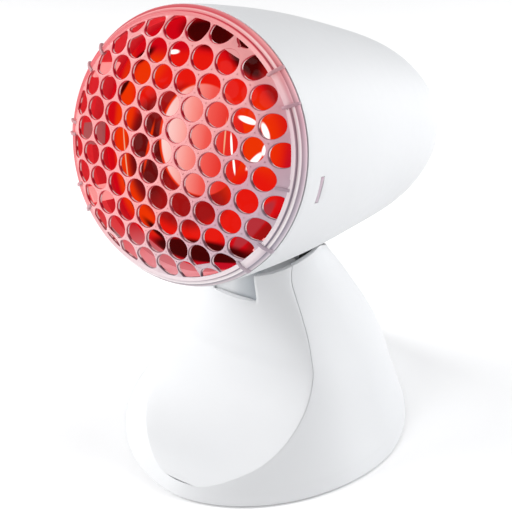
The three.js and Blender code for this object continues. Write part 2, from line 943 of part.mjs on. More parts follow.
function standShell() {
  const outer = solid(standSkin(0, footLift, standHeight));
  const inner = standSkin(-standWall, footLift - overrun, standHeight + overrun, 6, standSides - 12);
  let body = outer.subtract(solid(inner));
  const bosses = [
    ...corners.map(([sx, sy]) => [
      sx * standScrewX, sy * standScrewY, standBossRadius, plateTop + gap, standHeight / 2,
    ]),
    ...[-1, 1].map((side) => [side * lugX, lugY, lugBossRadius, lugTop + gap, standHeight]),
  ];
  bosses.forEach(([x, y, radius, low, high]) => {
    const post = bar(radius, low, high, fastenerSides).translate(x, y, 0);
    body = body.add(solid(post).intersect(outer));
  });
  bosses.forEach(([x, y, , low]) => {
    const pilot = bar(pilotRadius, low - gap, low + standScrewLength, fastenerSides).translate(x, y, 0);
    body = body.subtract(solid(pilot));
  });
  return surface(body.subtract(archCutter()).subtract(swept).subtract(inletHole()));
}

function frontPanel() {
  const notch = block(notchHalfWidth * 2, standDepth, standHeight, 0, 0, notchFloor + standHeight / 2);
  return surface(solid(panelSkin()).subtract(solid(notch)).subtract(swept));
}

// Cord inlet, at the back of the foot

const inletY = standSection(inletHeight, 0).middle + standSection(inletHeight, 0).halfDepth;

function alongY(geometry) {
  return geometry.rotateX(-quarterTurn).translate(0, inletY, inletHeight);
}

function inletHole() {
  return solid(alongY(bar(inletRadius + gap, -standWall * 3, overrun)));
}

function cordInlet() {
  const inside = -standWall * 2.5;
  const bush = solid(alongY(turned([
    [inletBoreRadius, inside],
    [inletRadius, inside],
    [inletRadius, inletReach],
    [inletBoreRadius, inletReach],
  ], footSides)));
  const collar = solid(alongY(turned([
    [inletBoreRadius, -standWall],
    [inletCollarRadius, -standWall],
    [inletCollarRadius, inletReach - gap],
    [inletCollarRadius - gap, inletReach],
    [inletBoreRadius, inletReach],
  ], footSides)));
  const clearOfShell = solid(standSkin(gap, footLift - overrun, standHeight / 2));
  return surface(collar.subtract(clearOfShell).add(bush));
}

// Bottom plate

function plateOutline() {
  return standRing(plateTop, -standWall - gap * 2, standSides - 12).map((p) => new THREE.Vector2(p.x, p.y));
}

function standPlate() {
  const outline = new THREE.Shape(plateOutline());
  outline.holes = corners.map(([sx, sy]) => new THREE.Path(
    circle(sx * standScrewX, sy * standScrewY, screwHoleRadius, fastenerSides),
  ));
  const plate = new THREE.ExtrudeGeometry(outline, { depth: plateThickness, bevelEnabled: false })
    .translate(0, 0, plateUnderside);
  let body = solid(plate);
  corners.forEach(([sx, sy]) => {
    const pocket = bar(footPadRadius + gap, footLift, plateUnderside + footPadRecess, footSides);
    body = body.subtract(solid(pocket.translate(sx * footX, sy * footY, 0)));
  });
  return surface(body);
}

function footPad(sx, sy) {
  const top = plateUnderside + footPadRecess - gap;
  return turned([
    [0, 0],
    [footPadRadius - gap, 0],
    [footPadRadius, gap],
    [footPadRadius, top],
    [0, top],
  ], footSides).translate(sx * footX, sy * footY, 0);
}

function standScrew(sx, sy) {
  const body = screw(standScrewLength).rotateX(Math.PI);
  return body.translate(sx * standScrewX, sy * standScrewY, plateUnderside - screwHeadHeight - gap);
}

// Tilt arm and click mechanism

function arcPoints(y, z, radius, from, to, steps) {
  return Array.from({ length: steps + 1 }, (_, i) => {
    const angle = degrees(from + (to - from) * (i / steps));
    return [y + radius * Math.cos(angle), z + radius * Math.sin(angle)];
  });
}

function tiltArm() {
  const outline = [
    ...arcPoints(pivotY, pivotZ, detentRadius, 180, 360, 12),
    [pivotY + armRear, pivotZ + detentRadius],
    [pivotY + armRear, headFrontZ],
    [pivotY - armFront, headFrontZ],
    [pivotY - armFront, pivotZ + detentRadius],
  ];
  let body = solid(sidePlate(outline, armWidth, [[pivotY, pivotZ, axleRadius + axleClearance]]));
  for (let click = 0; click < clicks; click += 1) {
    const angle = degrees(270 + (click - (clicks - 1) / 2) * tiltStep);
    const notch = bar(notchRadius, -armWidth, armWidth, 8).rotateY(quarterTurn);
    body = body.subtract(solid(notch.translate(0, pivotY + detentRadius * Math.cos(angle),
      pivotZ + detentRadius * Math.sin(angle))));
  }
  body = body.subtract(solid(headSkin(gap, overrun).applyMatrix4(headMatrix())));
  armScrewSetbacks.forEach((behind) => {
    const place = armScrewPlace(behind).premultiply(headMatrix());
    const pilot = bar(pilotRadius, -screwLength - gap, overrun, fastenerSides);
    body = body.subtract(solid(pilot.applyMatrix4(place)));
  });
  return surface(body.subtract(leadPassage()));
}

// The leads come down out of the housing and leave the arm at its rear
function leadPassage() {
  const place = armScrewPlace(cableSetback).premultiply(headMatrix());
  const low = -screwLength - cableHoleRadius;
  const drop = bar(cableHoleRadius, low, overrun, fastenerSides).applyMatrix4(place);
  const turn = new THREE.Vector3(0, 0, -screwLength).applyMatrix4(place);
  const way = bar(cableHoleRadius, -gap, armRear, fastenerSides).rotateX(-quarterTurn);
  return solid(drop).add(solid(way.translate(0, turn.y, turn.z)));
}

function tiltBracket() {
  const cheek = (side) => {
    const outline = [
      [pivotY - cheekWidth / 2, bracketLevel],
      [pivotY + cheekWidth / 2, bracketLevel],
      [pivotY + cheekWidth / 2, pivotZ],
      ...arcPoints(pivotY, pivotZ, cheekWidth / 2, 0, 180, 10),
    ];
    return sidePlate(outline, cheekThickness, [[pivotY, pivotZ, axleRadius + axleClearance]])
      .translate(side * (armWidth / 2 + cheekGap + cheekThickness / 2), 0, 0);
  };
  const width = 2 * (lugX + lugMargin);
  const web = block(width, cheekWidth, cheekThickness, 0, pivotY, bracketLevel + cheekThickness / 2);
  let body = solid(web).add(solid(cheek(-1))).add(solid(cheek(1)));
  [-1, 1].forEach((side) => {
    const hole = bar(screwHoleRadius, bracketLevel - overrun, lugTop + overrun, fastenerSides);
    body = body.subtract(solid(hole.translate(side * lugX, lugY, 0)));
  });
  return surface(body);
}

function lugScrew(side) {
  const body = screw(standScrewLength).rotateX(Math.PI);
  return body.translate(side * lugX, lugY, bracketLevel - screwHeadHeight - gap);
}

const cheekOuter = armWidth / 2 + cheekGap + cheekThickness;

function axle() {
  const shank = cheekOuter + gap + clipThickness;
  return turned([
    [0, -cheekOuter - gap - axleHeadLength],
    [axleHeadRadius, -cheekOuter - gap - axleHeadLength],
    [axleHeadRadius, -cheekOuter - gap],
    [axleRadius, -cheekOuter - gap],
    [axleRadius, cheekOuter + gap],
    [axleRadius - grooveDepth, cheekOuter + gap],
    [axleRadius - grooveDepth, shank + gap],
    [axleRadius, shank + gap],
    [axleRadius, shank + axleHeadLength],
    [0, shank + axleHeadLength],
  ], footSides).rotateY(quarterTurn).translate(0, pivotY, pivotZ);
}

// A retaining ring with a mouth, in the axle's groove
function axleClip() {
  const ring = new THREE.Shape();
  const mouth = degrees(35);
  const inner = axleRadius - grooveDepth + gap / 2;
  ring.absarc(0, 0, clipRadius, mouth, fullTurn - mouth);
  ring.absarc(0, 0, inner, fullTurn - mouth, mouth, true);
  return new THREE.ExtrudeGeometry(ring, {
    depth: clipThickness - gap,
    bevelEnabled: false,
    curveSegments: fastenerSides,
  }).rotateY(quarterTurn).translate(cheekOuter + gap * 2, pivotY, pivotZ);
}

// A leaf spring on the bracket, with a nose in the arm's middle notch
function detentSpring() {
  const seat = lugTop + gap;
  const nose = pivotZ - detentRadius - gap;
  const rear = pivotY + cheekWidth / 2;
  const bend = pivotY - cheekWidth / 2;
  return sidePlate([
    [rear, seat],
    [bend, seat],
    [bend - springThickness, seat + springThickness],
    [bend, seat + springThickness * 2],
    [pivotY - notchRadius * 2, nose - springThickness],
    [pivotY - notchRadius, nose - springThickness],
    [pivotY, nose],
    [pivotY + notchRadius, nose - springThickness],
    [pivotY + notchRadius * 2, nose - springThickness],
    [pivotY + notchRadius * 2, nose - springThickness * 2],
    [pivotY - notchRadius * 2, nose - springThickness * 2],
    [bend + springThickness * 2, seat + springThickness],
    [rear, seat + springThickness],
  ], springWidth);
}

function terminalBlock() {
  return block(terminalWidth, terminalDepth, terminalHeight, 0, standHalfDepth / 2,
    plateTop + gap + terminalHeight / 2);
}

// Assembly

const lamp = new THREE.Group();
const head = new THREE.Group();
head.position.set(0, headFrontY, headFrontZ);
head.rotation.x = headTurn;
lamp.add(head);

function add(group, name, geometry, material) {
  const mesh = new THREE.Mesh(geometry, material);
  mesh.name = name;
  group.add(mesh);
  return mesh;
}

add(head, 'head_shell', headShell(), materials.whitePlastic);
add(head, 'front_guard', guard(), materials.clearGuard);
add(head, 'bulb_face', bulbFace(), materials.redGlass);
add(head, 'bulb_reflector', bulbReflector(), materials.silveredGlass);
add(head, 'bulb_stem', bulbStem(), materials.clearGlass);
add(head, 'filament_post_left', filamentPost(-1), materials.nickel);
add(head, 'filament_post_right', filamentPost(1), materials.nickel);
add(head, 'filament', filament(), materials.tungsten);
add(head, 'bulb_cap', bulbCap(), materials.nickel);
add(head, 'bulb_cap_insulator', capInsulator(), materials.blackGlass);
add(head, 'bulb_tip_contact', capTip(), materials.brass);
add(head, 'socket_body', socketBody(), materials.ceramic);
add(head, 'socket_sleeve', socketSleeve(), materials.brass);
add(head, 'socket_contact', socketContact(), materials.brass);
add(head, 'socket_bracket', socketBracket(), materials.steel);
[['left', -1], ['right', 1]].forEach(([label, side]) => {
  const body = add(head, `bracket_screw_${label}`, screw(screwLength), materials.steel);
  body.position.set(side * bracketSpread, 0, -bracketSetback + gap + screwHeadHeight);
});
[['front', armScrewSetbacks[0]], ['rear', armScrewSetbacks[1]]].forEach(([label, behind]) => {
  const body = add(head, `arm_screw_${label}`, screw(screwLength), materials.steel);
  body.applyMatrix4(armScrewPlace(behind));
});

add(lamp, 'tilt_arm', tiltArm(), materials.greyPlastic);
add(lamp, 'tilt_bracket', tiltBracket(), materials.steel);
add(lamp, 'tilt_axle', axle(), materials.steel);
add(lamp, 'axle_clip', axleClip(), materials.steel);
add(lamp, 'click_spring', detentSpring(), materials.steel);
[['left', -1], ['right', 1]].forEach(([label, side]) => {
  add(lamp, `tilt_bracket_screw_${label}`, lugScrew(side), materials.steel);
});

add(lamp, 'stand_shell', standShell(), materials.whitePlastic);
add(lamp, 'front_panel', frontPanel(), materials.whitePlastic);
add(lamp, 'stand_plate', standPlate(), materials.greyPlastic);
['front_left', 'front_right', 'rear_right', 'rear_left'].forEach((label, i) => {
  add(lamp, `foot_${label}`, footPad(...corners[i]), materials.rubber);
  add(lamp, `stand_screw_${label}`, standScrew(...corners[i]), materials.steel);
});
add(lamp, 'cord_inlet', cordInlet(), materials.rubber);
add(lamp, 'terminal_block', terminalBlock(), materials.ceramic);

const reach = new THREE.Box3().setFromObject(lamp, true);
lamp.position.y = -(reach.min.y + reach.max.y) / 2;

export default lamp;
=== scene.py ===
# Infrared heat therapy lamp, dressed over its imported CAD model.
# Lengths in the dictionaries are millimetres; meshes are in metres, in the CAD frame.

import bmesh
import bpy
import numpy as np
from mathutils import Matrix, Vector


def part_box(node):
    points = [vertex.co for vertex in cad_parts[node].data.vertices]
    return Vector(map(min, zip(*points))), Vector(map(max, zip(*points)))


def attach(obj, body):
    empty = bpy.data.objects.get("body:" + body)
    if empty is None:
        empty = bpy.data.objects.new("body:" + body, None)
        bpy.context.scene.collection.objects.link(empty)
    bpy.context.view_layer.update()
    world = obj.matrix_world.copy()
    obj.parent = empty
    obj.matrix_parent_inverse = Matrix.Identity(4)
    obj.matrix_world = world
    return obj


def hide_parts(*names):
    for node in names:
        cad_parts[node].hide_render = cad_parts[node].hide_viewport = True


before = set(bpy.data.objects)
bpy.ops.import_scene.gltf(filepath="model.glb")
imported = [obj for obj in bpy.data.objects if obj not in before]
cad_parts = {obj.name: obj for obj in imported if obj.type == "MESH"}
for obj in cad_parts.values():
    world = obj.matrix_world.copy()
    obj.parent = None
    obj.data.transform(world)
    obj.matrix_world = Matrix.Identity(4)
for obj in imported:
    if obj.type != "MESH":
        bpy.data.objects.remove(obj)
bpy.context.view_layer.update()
mm = 0.001
fullTurn = 2 * np.pi

# The stand's middle is half-way between its front and rear feet
feet = [corner for name in ("foot_front_left", "foot_rear_left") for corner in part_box(name)]
standMiddle = sum(corner.y for corner in feet) / len(feet) / mm
print("frame loaded,", len(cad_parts), "nodes, stand middle at", round(standMiddle, 3))


# Camera, at the photograph's angle

photoView = {
    "target": (0, -25.59, 97.5),
    "azimuth": 31.58,
    "elevation": 27.79,
    "distance": 440.52,
    "lens": 73.83,
    "shift": (-0.0199, -0.0733),
    "sensor": 36,
    "near": 10,
}


def setCamera(view):
    az, el = np.radians(view["azimuth"]), np.radians(view["elevation"])
    back = Vector((np.sin(az) * np.cos(el), -np.cos(az) * np.cos(el), np.sin(el)))
    camera = bpy.data.objects.new("camera", bpy.data.cameras.new("camera"))
    bpy.context.scene.collection.objects.link(camera)
    camera.location = (Vector(view["target"]) + back * view["distance"]) * mm
    camera.rotation_euler = back.to_track_quat("Z", "Y").to_euler()
    camera.data.sensor_width = view["sensor"]
    camera.data.lens = view["lens"]
    camera.data.shift_x, camera.data.shift_y = view["shift"]
    camera.data.clip_start = view["near"] * mm
    bpy.context.scene.camera = camera


setCamera(photoView)


# Mesh helpers

def smoothCurve(table, x):
    # cubic through the table's points, slopes from their neighbours; works on whole arrays
    table = np.asarray(table, float)
    px, py = table[:, 0], table[:, 1]
    slope = np.empty(len(px))
    slope[1:-1] = (py[2:] - py[:-2]) / (px[2:] - px[:-2])
    slope[0] = (py[1] - py[0]) / (px[1] - px[0])
    slope[-1] = (py[-1] - py[-2]) / (px[-1] - px[-2])
    x = np.asarray(x, float)
    i = np.clip(np.searchsorted(px, x, side="right"), 1, len(px) - 1)
    width = px[i] - px[i - 1]
    t = (x - px[i - 1]) / width
    start, rise = py[i - 1], py[i] - py[i - 1]
    s0, s1 = slope[i - 1] * width, slope[i] * width
    return start + t * s0 + t * t * (3 * rise - 2 * s0 - s1) + t**3 * (s0 + s1 - 2 * rise)


def between(angle, other, whole=fullTurn):
    # the turn from one angle to another, at most half a turn either way
    return (angle - other + whole / 2) % whole - whole / 2


def gridFaces(rows, columns, around=False):
    # quads of a grid of rows x columns points; around joins the last column to the first
    r = np.arange(rows - 1)[:, None]
    c = np.arange(columns if around else columns - 1)[None, :]
    n = (c + 1) % columns
    return np.stack([r * columns + c + 0 * n, r * columns + n,
                     (r + 1) * columns + n, (r + 1) * columns + c + 0 * n], -1)


def capFaces(start, count, centre):
    # triangles from a ring of points to one point
    i = np.arange(count)
    return np.stack([start + i, start + (i + 1) % count, np.full_like(i, centre)], -1)


def aboutZ(radius, across, z, angle):
    # points at a radius and a distance across it, turned about Z
    return np.stack([radius * np.cos(angle) - across * np.sin(angle),
                     radius * np.sin(angle) + across * np.cos(angle), z], -1)


def newPiece(name, points, faces, merge=0.0, marks=None):
    # points in millimetres, any shape x 3; faces a list of index rows; marks are numbers for the materials
    mesh = bpy.data.meshes.new(name)
    corners = [row for block in faces for row in np.asarray(block).reshape(-1, np.shape(block)[-1]).tolist()]
    mesh.from_pydata((np.asarray(points, float).reshape(-1, 3) * mm).tolist(), [], corners)
    piece = bpy.data.objects.new(name, mesh)
    bpy.context.scene.collection.objects.link(piece)
    for mark, values in (marks or {}).items():
        layer = mesh.attributes.new(mark, "FLOAT", "POINT")
        layer.data.foreach_set("value", np.asarray(values, np.float32).ravel())
    work = bmesh.new()
    work.from_mesh(mesh)
    if merge:
        bmesh.ops.remove_doubles(work, verts=work.verts, dist=merge * mm)
    bmesh.ops.recalc_face_normals(work, faces=work.faces)
    work.to_mesh(mesh)
    work.free()
    return piece


def settle(piece, angle=32):
    # the modifiers' result becomes the mesh, smooth except where faces meet sharply
    bpy.context.view_layer.update()
    shown = piece.evaluated_get(bpy.context.evaluated_depsgraph_get())
    mesh = bpy.data.meshes.new_from_object(shown)
    piece.modifiers.clear()
    piece.data = mesh
    mesh.name = piece.name
    mesh.polygons.foreach_set("use_smooth", np.ones(len(mesh.polygons), bool))
    mesh.set_sharp_from_angle(angle=np.radians(angle))
    return piece


def thicken(piece, thickness, edge=0.0, segments=2, angle=50, even=True):
    # a second material on the piece goes to the inside of the wall
    wall = piece.modifiers.new("wall", "SOLIDIFY")
    wall.thickness = thickness * mm
    wall.offset = -1
    wall.use_even_offset = even
    wall.material_offset = max(len(piece.data.materials) - 1, 0)
    if edge:
        roundEdges(piece, edge, segments, angle)
    return piece


def roundEdges(piece, edge, segments=2, angle=50):
    rounding = piece.modifiers.new("edges", "BEVEL")
    rounding.width = edge * mm
    rounding.segments = segments
    rounding.limit_method = "ANGLE"
    rounding.angle_limit = np.radians(angle)
    rounding.use_clamp_overlap = True
    return piece


def dress(piece, body, material, slot, *nodes):
    if material:
        piece.data.materials.append(material)
    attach(piece, body)
    if nodes:
        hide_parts(*nodes)
    return piece


# Finishes: every one is made of nodes on Object coordinates

def blankFinish(name, look):
    material = bpy.data.materials.new(name)
    material.use_nodes = True
    tree = material.node_tree
    shader = tree.nodes["Principled BSDF"]
    for socket, value in look.items():
        shader.inputs[socket].default_value = value
    place = tree.nodes.new("ShaderNodeTexCoord").outputs["Object"]
    return material, tree, shader, place


def noise(tree, place, scale, detail):
    grain = tree.nodes.new("ShaderNodeTexNoise")
    grain.inputs["Scale"].default_value = scale
    grain.inputs["Detail"].default_value = detail
    tree.links.new(place, grain.inputs["Vector"])
    return grain.outputs["Fac"]


def stretch(tree, value, low, high, start=0.0, end=1.0, way="LINEAR"):
    # low to high becomes start to end, and stays there beyond
    remap = tree.nodes.new("ShaderNodeMapRange")
    remap.interpolation_type = way
    for socket, number in (("From Min", low), ("From Max", high), ("To Min", start), ("To Max", end)):
        remap.inputs[socket].default_value = number
    tree.links.new(value, remap.inputs["Value"])
    return remap.outputs["Result"]


def spread(tree, value, low, high):
    # the middle half of a noise's values becomes low to high
    return stretch(tree, value, 0.25, 0.75, low, high)


def rampOf(tree, factor, stops):
    ramp = tree.nodes.new("ShaderNodeValToRGB")
    for i, (at, colour) in enumerate((stops[0], stops[-1], *stops[1:-1])):
        stop = ramp.color_ramp.elements[i] if i < 2 else ramp.color_ramp.elements.new(at)
        stop.position, stop.color = at, (*colour, 1)
    tree.links.new(factor, ramp.inputs["Fac"])
    return ramp.outputs["Color"]


def axesOf(tree, vector):
    apart = tree.nodes.new("ShaderNodeSeparateXYZ")
    tree.links.new(vector, apart.inputs["Vector"])
    return apart.outputs


def seenFrom(tree, vector, location, rotation, scale):
    # where a point lies from another place, along turned axes and in other units
    seen = tree.nodes.new("ShaderNodeMapping")
    seen.vector_type = "TEXTURE"
    for socket, numbers in (("Location", location), ("Rotation", rotation), ("Scale", scale)):
        seen.inputs[socket].default_value = numbers
    tree.links.new(vector, seen.inputs["Vector"])
    return seen.outputs["Vector"]


def blendColours(tree, factor, first, second):
    mix = tree.nodes.new("ShaderNodeMix")
    mix.data_type = "RGBA"
    for socket, colour in (("A", first), ("B", second)):
        target = [s for s in mix.inputs if s.name == socket and s.type == "RGBA"][0]
        if hasattr(colour, "links"):
            tree.links.new(colour, target)
        else:
            target.default_value = (*colour, 1)
    if hasattr(factor, "links"):
        tree.links.new(factor, mix.inputs["Factor"])
    else:
        mix.inputs["Factor"].default_value = factor
    return [s for s in mix.outputs if s.type == "RGBA"][0]


def bump(tree, shader, height, distance):
    relief = tree.nodes.new("ShaderNodeBump")
    relief.inputs["Distance"].default_value = distance * mm
    relief.inputs["Strength"].default_value = 1
    tree.links.new(height, relief.inputs["Height"])
    tree.links.new(relief.outputs["Normal"], shader.inputs["Normal"])


# Scales of the noises, how far the gloss goes either way, and the streaks' depth in millimetres
plasticGrain = {"cloud": 22, "gloss": 240, "duller": 0.04, "glossier": 0.03, "relief": 900}
metalGrain = {"drawn": (1, 12, 12), "streaks": 120, "duller": 0.1, "glossier": 0.08, "depth": 0.01}


def mouldedPlastic(name, colour, shade, roughness, grain):
    # faint cloudiness in the colour, fine grain in gloss and surface
    material, tree, shader, place = blankFinish(name, {"Roughness": roughness, "IOR": 1.49})
    cloud = noise(tree, place, plasticGrain["cloud"], 2)
    tree.links.new(blendColours(tree, cloud, colour, shade), shader.inputs["Base Color"])
    gloss = spread(tree, noise(tree, place, plasticGrain["gloss"], 3),
                   roughness - plasticGrain["glossier"], roughness + plasticGrain["duller"])
    tree.links.new(gloss, shader.inputs["Roughness"])
    bump(tree, shader, noise(tree, place, plasticGrain["relief"], 2), grain)
    return material


def bareMetal(name, colour, shade, roughness):
    # drawn metal: long fine streaks in the gloss
    material, tree, shader, place = blankFinish(name, {"Metallic": 1.0, "Roughness": roughness})
    drawn = tree.nodes.new("ShaderNodeMapping")
    drawn.inputs["Scale"].default_value = metalGrain["drawn"]
    tree.links.new(place, drawn.inputs["Vector"])
    streak = noise(tree, drawn.outputs["Vector"], metalGrain["streaks"], 4)
    tree.links.new(blendColours(tree, streak, colour, shade), shader.inputs["Base Color"])
    gloss = spread(tree, streak, roughness - metalGrain["glossier"], roughness + metalGrain["duller"])
    tree.links.new(gloss, shader.inputs["Roughness"])
    bump(tree, shader, streak, metalGrain["depth"])
    return material


finishes = {
    "whitePlastic": mouldedPlastic("whitePlastic", (0.622, 0.627, 0.638), (0.608, 0.616, 0.63), 0.45, 0.01),
    "palePlastic": mouldedPlastic("palePlastic", (0.64, 0.66, 0.69), (0.6, 0.62, 0.65), 0.38, 0.02),
    "greyPlastic": mouldedPlastic("greyPlastic", (0.46, 0.48, 0.5), (0.4, 0.42, 0.44), 0.42, 0.03),
    "rubber": mouldedPlastic("rubber", (0.045, 0.046, 0.05), (0.03, 0.03, 0.033), 0.75, 0.05),
    "ceramic": mouldedPlastic("ceramic", (0.8, 0.78, 0.72), (0.74, 0.71, 0.64), 0.45, 0.02),
    "blackGlass": mouldedPlastic("blackGlass", (0.012, 0.012, 0.015), (0.02, 0.02, 0.024), 0.12, 0.005),
    "nickel": bareMetal("nickel", (0.62, 0.6, 0.56), (0.5, 0.48, 0.45), 0.3),
    "brass": bareMetal("brass", (0.72, 0.5, 0.2), (0.58, 0.4, 0.15), 0.35),
    "steel": bareMetal("steel", (0.6, 0.61, 0.63), (0.5, 0.51, 0.53), 0.34),
}
print("finishes made")


# Head housing, and the head's own frame: Z out of the mouth, Y up, behind = -Z

headPlace = {"tilt": 15.6, "front": (-55.9, 151.1), "pivot": (-1, 72)}
housing = {
    "radius": 50.4,
    "length": 188,
    "droop": 3.2,
    "wall": 2.2,
    "roundness": 0.8,
    "fullness": [(0, 1), (0.25, 1.012), (0.5, 1.021), (0.7, 1.075), (0.86, 1.142), (1, 1.313)],
    # rows from the mouth to the latch slots, along them, to the rear slots, along them, and to the last row
    "rowCounts": (3, 2, 50, 12, 5),
    "lastRow": 89.4,
    "sides": 144,
    "edge": 0.35,
    # how far round and how far back the columns lean over to the latch slots
    "leanRound": 0.035,
    "leanBack": 6,
    # what it sweeps over is taken to reach this far in front of its mouth
    "ahead": 6,
}
latch = {"angles": (-5.8, 185.8), "width": 9.6, "depth": 2.6, "setback": 11.6, "play": 0.12, "arm": 1.3,
         "short": 0.1}
vents = {"count": 9, "width": 2.6, "inner": 7, "outer": 21, "fanFrom": 30}


headTurn = np.pi / 2 - np.radians(headPlace["tilt"])


def headToLamp(points):
    # turned about X by 90 degrees less the tilt, then set at the mouth
    x, y, z = np.moveaxis(np.asarray(points, float), -1, 0)
    frontY, frontZ = headPlace["front"]
    return np.stack([x, y * np.cos(headTurn) - z * np.sin(headTurn) + frontY + standMiddle,
                     y * np.sin(headTurn) + z * np.cos(headTurn) + frontZ], -1)


def lampToHead(points, extraTilt):
    # turned back about the pivot by the extra tilt, then the other way round
    x, y, z = np.moveaxis(np.asarray(points, float), -1, 0)
    frontY, frontZ = headPlace["front"]
    pivotY, pivotZ = headPlace["pivot"]
    y, z = y - pivotY - standMiddle, z - pivotZ
    a = np.radians(extraTilt)
    y, z = y * np.cos(a) - z * np.sin(a), y * np.sin(a) + z * np.cos(a)
    y, z = y + pivotY - frontY, z + pivotZ - frontZ
    return np.stack([x, y * np.cos(headTurn) + z * np.sin(headTurn),
                     -y * np.sin(headTurn) + z * np.cos(headTurn)], -1)


def onHead(tree, place, origin):
    # Object coordinates turned into the head's own frame, in millimetres from a point of it
    return seenFrom(tree, place, headToLamp(origin) * mm, (headTurn, 0, 0), (mm, mm, mm))


# The bulb's light inside the housing, painted on as a red glow: where it is paler, low down, and how far
# back it reaches
redInside = {
    "crimson": (0.4, 0.001, 0.006),
    "pink": (0.5, 0.16, 0.18),
    "low": (-46, -38),
    "depth": (-60, -8),
}
# a dark reddish base colour for the inside: painted shade and painted red light
wallLook = {"Base Color": (0.3, 0.12, 0.12, 1), "Roughness": 0.45}


def redLight(tree, where):
    # the bulb's light on the walls round it, painted: crimson, and paler at the bottom
    raised = stretch(tree, axesOf(tree, where)["Y"], *redInside["low"])
    return blendColours(tree, raised, redInside["pink"], redInside["crimson"])


def litWall():
    # white plastic inside the housing, with the bulb's red light painted on as a glow near the mouth
    material, tree, shader, place = blankFinish("litWall", wallLook)
    where = onHead(tree, place, (0, 0, 0))
    tree.links.new(redLight(tree, where), shader.inputs["Emission Color"])
    reach = stretch(tree, axesOf(tree, where)["Z"], *redInside["depth"])
    tree.links.new(reach, shader.inputs["Emission Strength"])
    bump(tree, shader, noise(tree, place, 500, 2), 0.02)
    return material


def housingRadius(latitude, grow=0.0):
    # an egg's round section, made fuller towards the tail
    full = smoothCurve(housing["fullness"], np.sin(latitude))
    return housing["radius"] * full * np.cos(latitude) ** housing["roundness"] + grow


def housingRadiusAt(behind, grow):
    sine = np.clip(behind / (housing["length"] + grow), 0, 1)
    return housingRadius(np.arcsin(sine), grow), housing["droop"] * sine**2


def latitudeOfRadius(radius, halvings=50):
    # bisection on the tail, where the radius falls steadily
    low, high = np.pi / 4, np.pi / 2
    for _ in range(halvings):
        middle = (low + high) / 2
        low, high = (middle, high) if housingRadius(middle) > radius else (low, middle)
    return low


def headHousing():
    # rows of latitude and columns round the axis, with lines on the edges of every slot
    slotRows = [np.arcsin((latch["setback"] + s * latch["depth"] / 2) / housing["length"]) for s in (-1, 1)]
    ventRows = [latitudeOfRadius(vents["outer"]), latitudeOfRadius(vents["inner"])]
    stops = [0, *slotRows, *ventRows, np.radians(housing["lastRow"])]
    spans = zip(stops[:-1], stops[1:], housing["rowCounts"])
    latitude = np.concatenate([np.linspace(a, b, n, endpoint=False) for a, b, n in spans] + [[stops[-1]]])
    radius = housingRadius(latitude)
    regular = np.arange(housing["sides"]) / housing["sides"] * fullTurn
    # columns lean over to the nearest latch edge near the mouth
    angle = np.repeat(regular[None], len(latitude), 0)
    half = np.arcsin(latch["width"] / 2 / housing["radius"])
    edges = np.radians(latch["angles"])[:, None] + np.array([-half, half])
    near = np.exp(-((latitude / slotRows[1]) ** 2) / housing["leanBack"])[:, None]
    for edge in edges.ravel():
        nearest = regular[np.argmin(np.abs(between(regular, edge)))]
        pull = np.exp(-(between(regular, nearest) / housing["leanRound"]) ** 2)
        angle += between(edge, nearest) * pull[None] * near
    # and to the edges of the rear slots near the tail
    ventAngle = np.arange(vents["count"]) / vents["count"] * fullTurn + np.pi / 2
    column = housing["sides"] // vents["count"]
    inVent = np.clip((radius - vents["fanFrom"]) / (vents["outer"] - vents["fanFrom"]), 0, 1)[:, None]
    halfVent = np.arcsin(np.clip(vents["width"] / 2 / np.maximum(radius, vents["inner"]), 0, 1))[:, None]
    place = np.arange(column) - column // 2
    share = place / column * fullTurn / vents["count"]
    oneColumn, halfBay = fullTurn / housing["sides"], np.pi / vents["count"]
    outside = halfVent + (np.abs(share) - oneColumn) / (halfBay - oneColumn) * (halfBay - halfVent)
    centred = np.sign(share) * np.where(np.abs(place) <= 1, halfVent, outside)
    fan = (ventAngle[None, :, None] + centred[:, None, :]).reshape(len(latitude), -1)
    shift = column // 2 - int(round(np.pi / 2 / fullTurn * housing["sides"]))
    fan = np.roll(fan, -shift, 1)
    angle = angle + between(fan, angle) * inVent
    droop = housing["droop"] * np.sin(latitude) ** 2
    points = aboutZ(radius[:, None], 0, -housing["length"] * np.sin(latitude)[:, None] + 0 * angle, angle)
    points[..., 1] -= droop[:, None]
    faces = gridFaces(len(latitude), housing["sides"], around=True)
    keep = np.ones(faces.shape[:2], bool)
    centre = angle + between(np.roll(angle, -1, 1), angle) / 2
    rowMiddle = (latitude[:-1] + latitude[1:]) / 2
    halfGap = np.maximum(halfVent[:-1], halfVent[1:])
    latchAngle = np.radians(latch["angles"])
    for rows, middles, reach in ((slotRows, latchAngle, half), (ventRows, ventAngle, halfGap)):
        inRow = (rowMiddle > rows[0]) & (rowMiddle < rows[1])
        for middle in middles:
            keep &= ~(inRow[:, None] & (np.abs(between(centre[:-1], middle)) < reach))
    pole = np.array([[0, -housing["droop"], -housing["length"]]])
    cap = capFaces((len(latitude) - 1) * housing["sides"], housing["sides"], points.size // 3)
    points = np.vstack([headToLamp(points).reshape(-1, 3), headToLamp(pole)])
    piece = newPiece("head_shell_moulding", points, [faces[keep], cap])
    for finish in ("whitePlastic", "litWall"):
        piece.data.materials.append(finishes[finish])
    thicken(piece, housing["wall"], housing["edge"], 3, 55)
    return settle(piece)


finishes["litWall"] = litWall()
dress(headHousing(), "head", None, "white_plastic", "head_shell")
print("head housing made")


# Front guard: a domed honeycomb, its stepped rim, ribs, two latches and four tabs

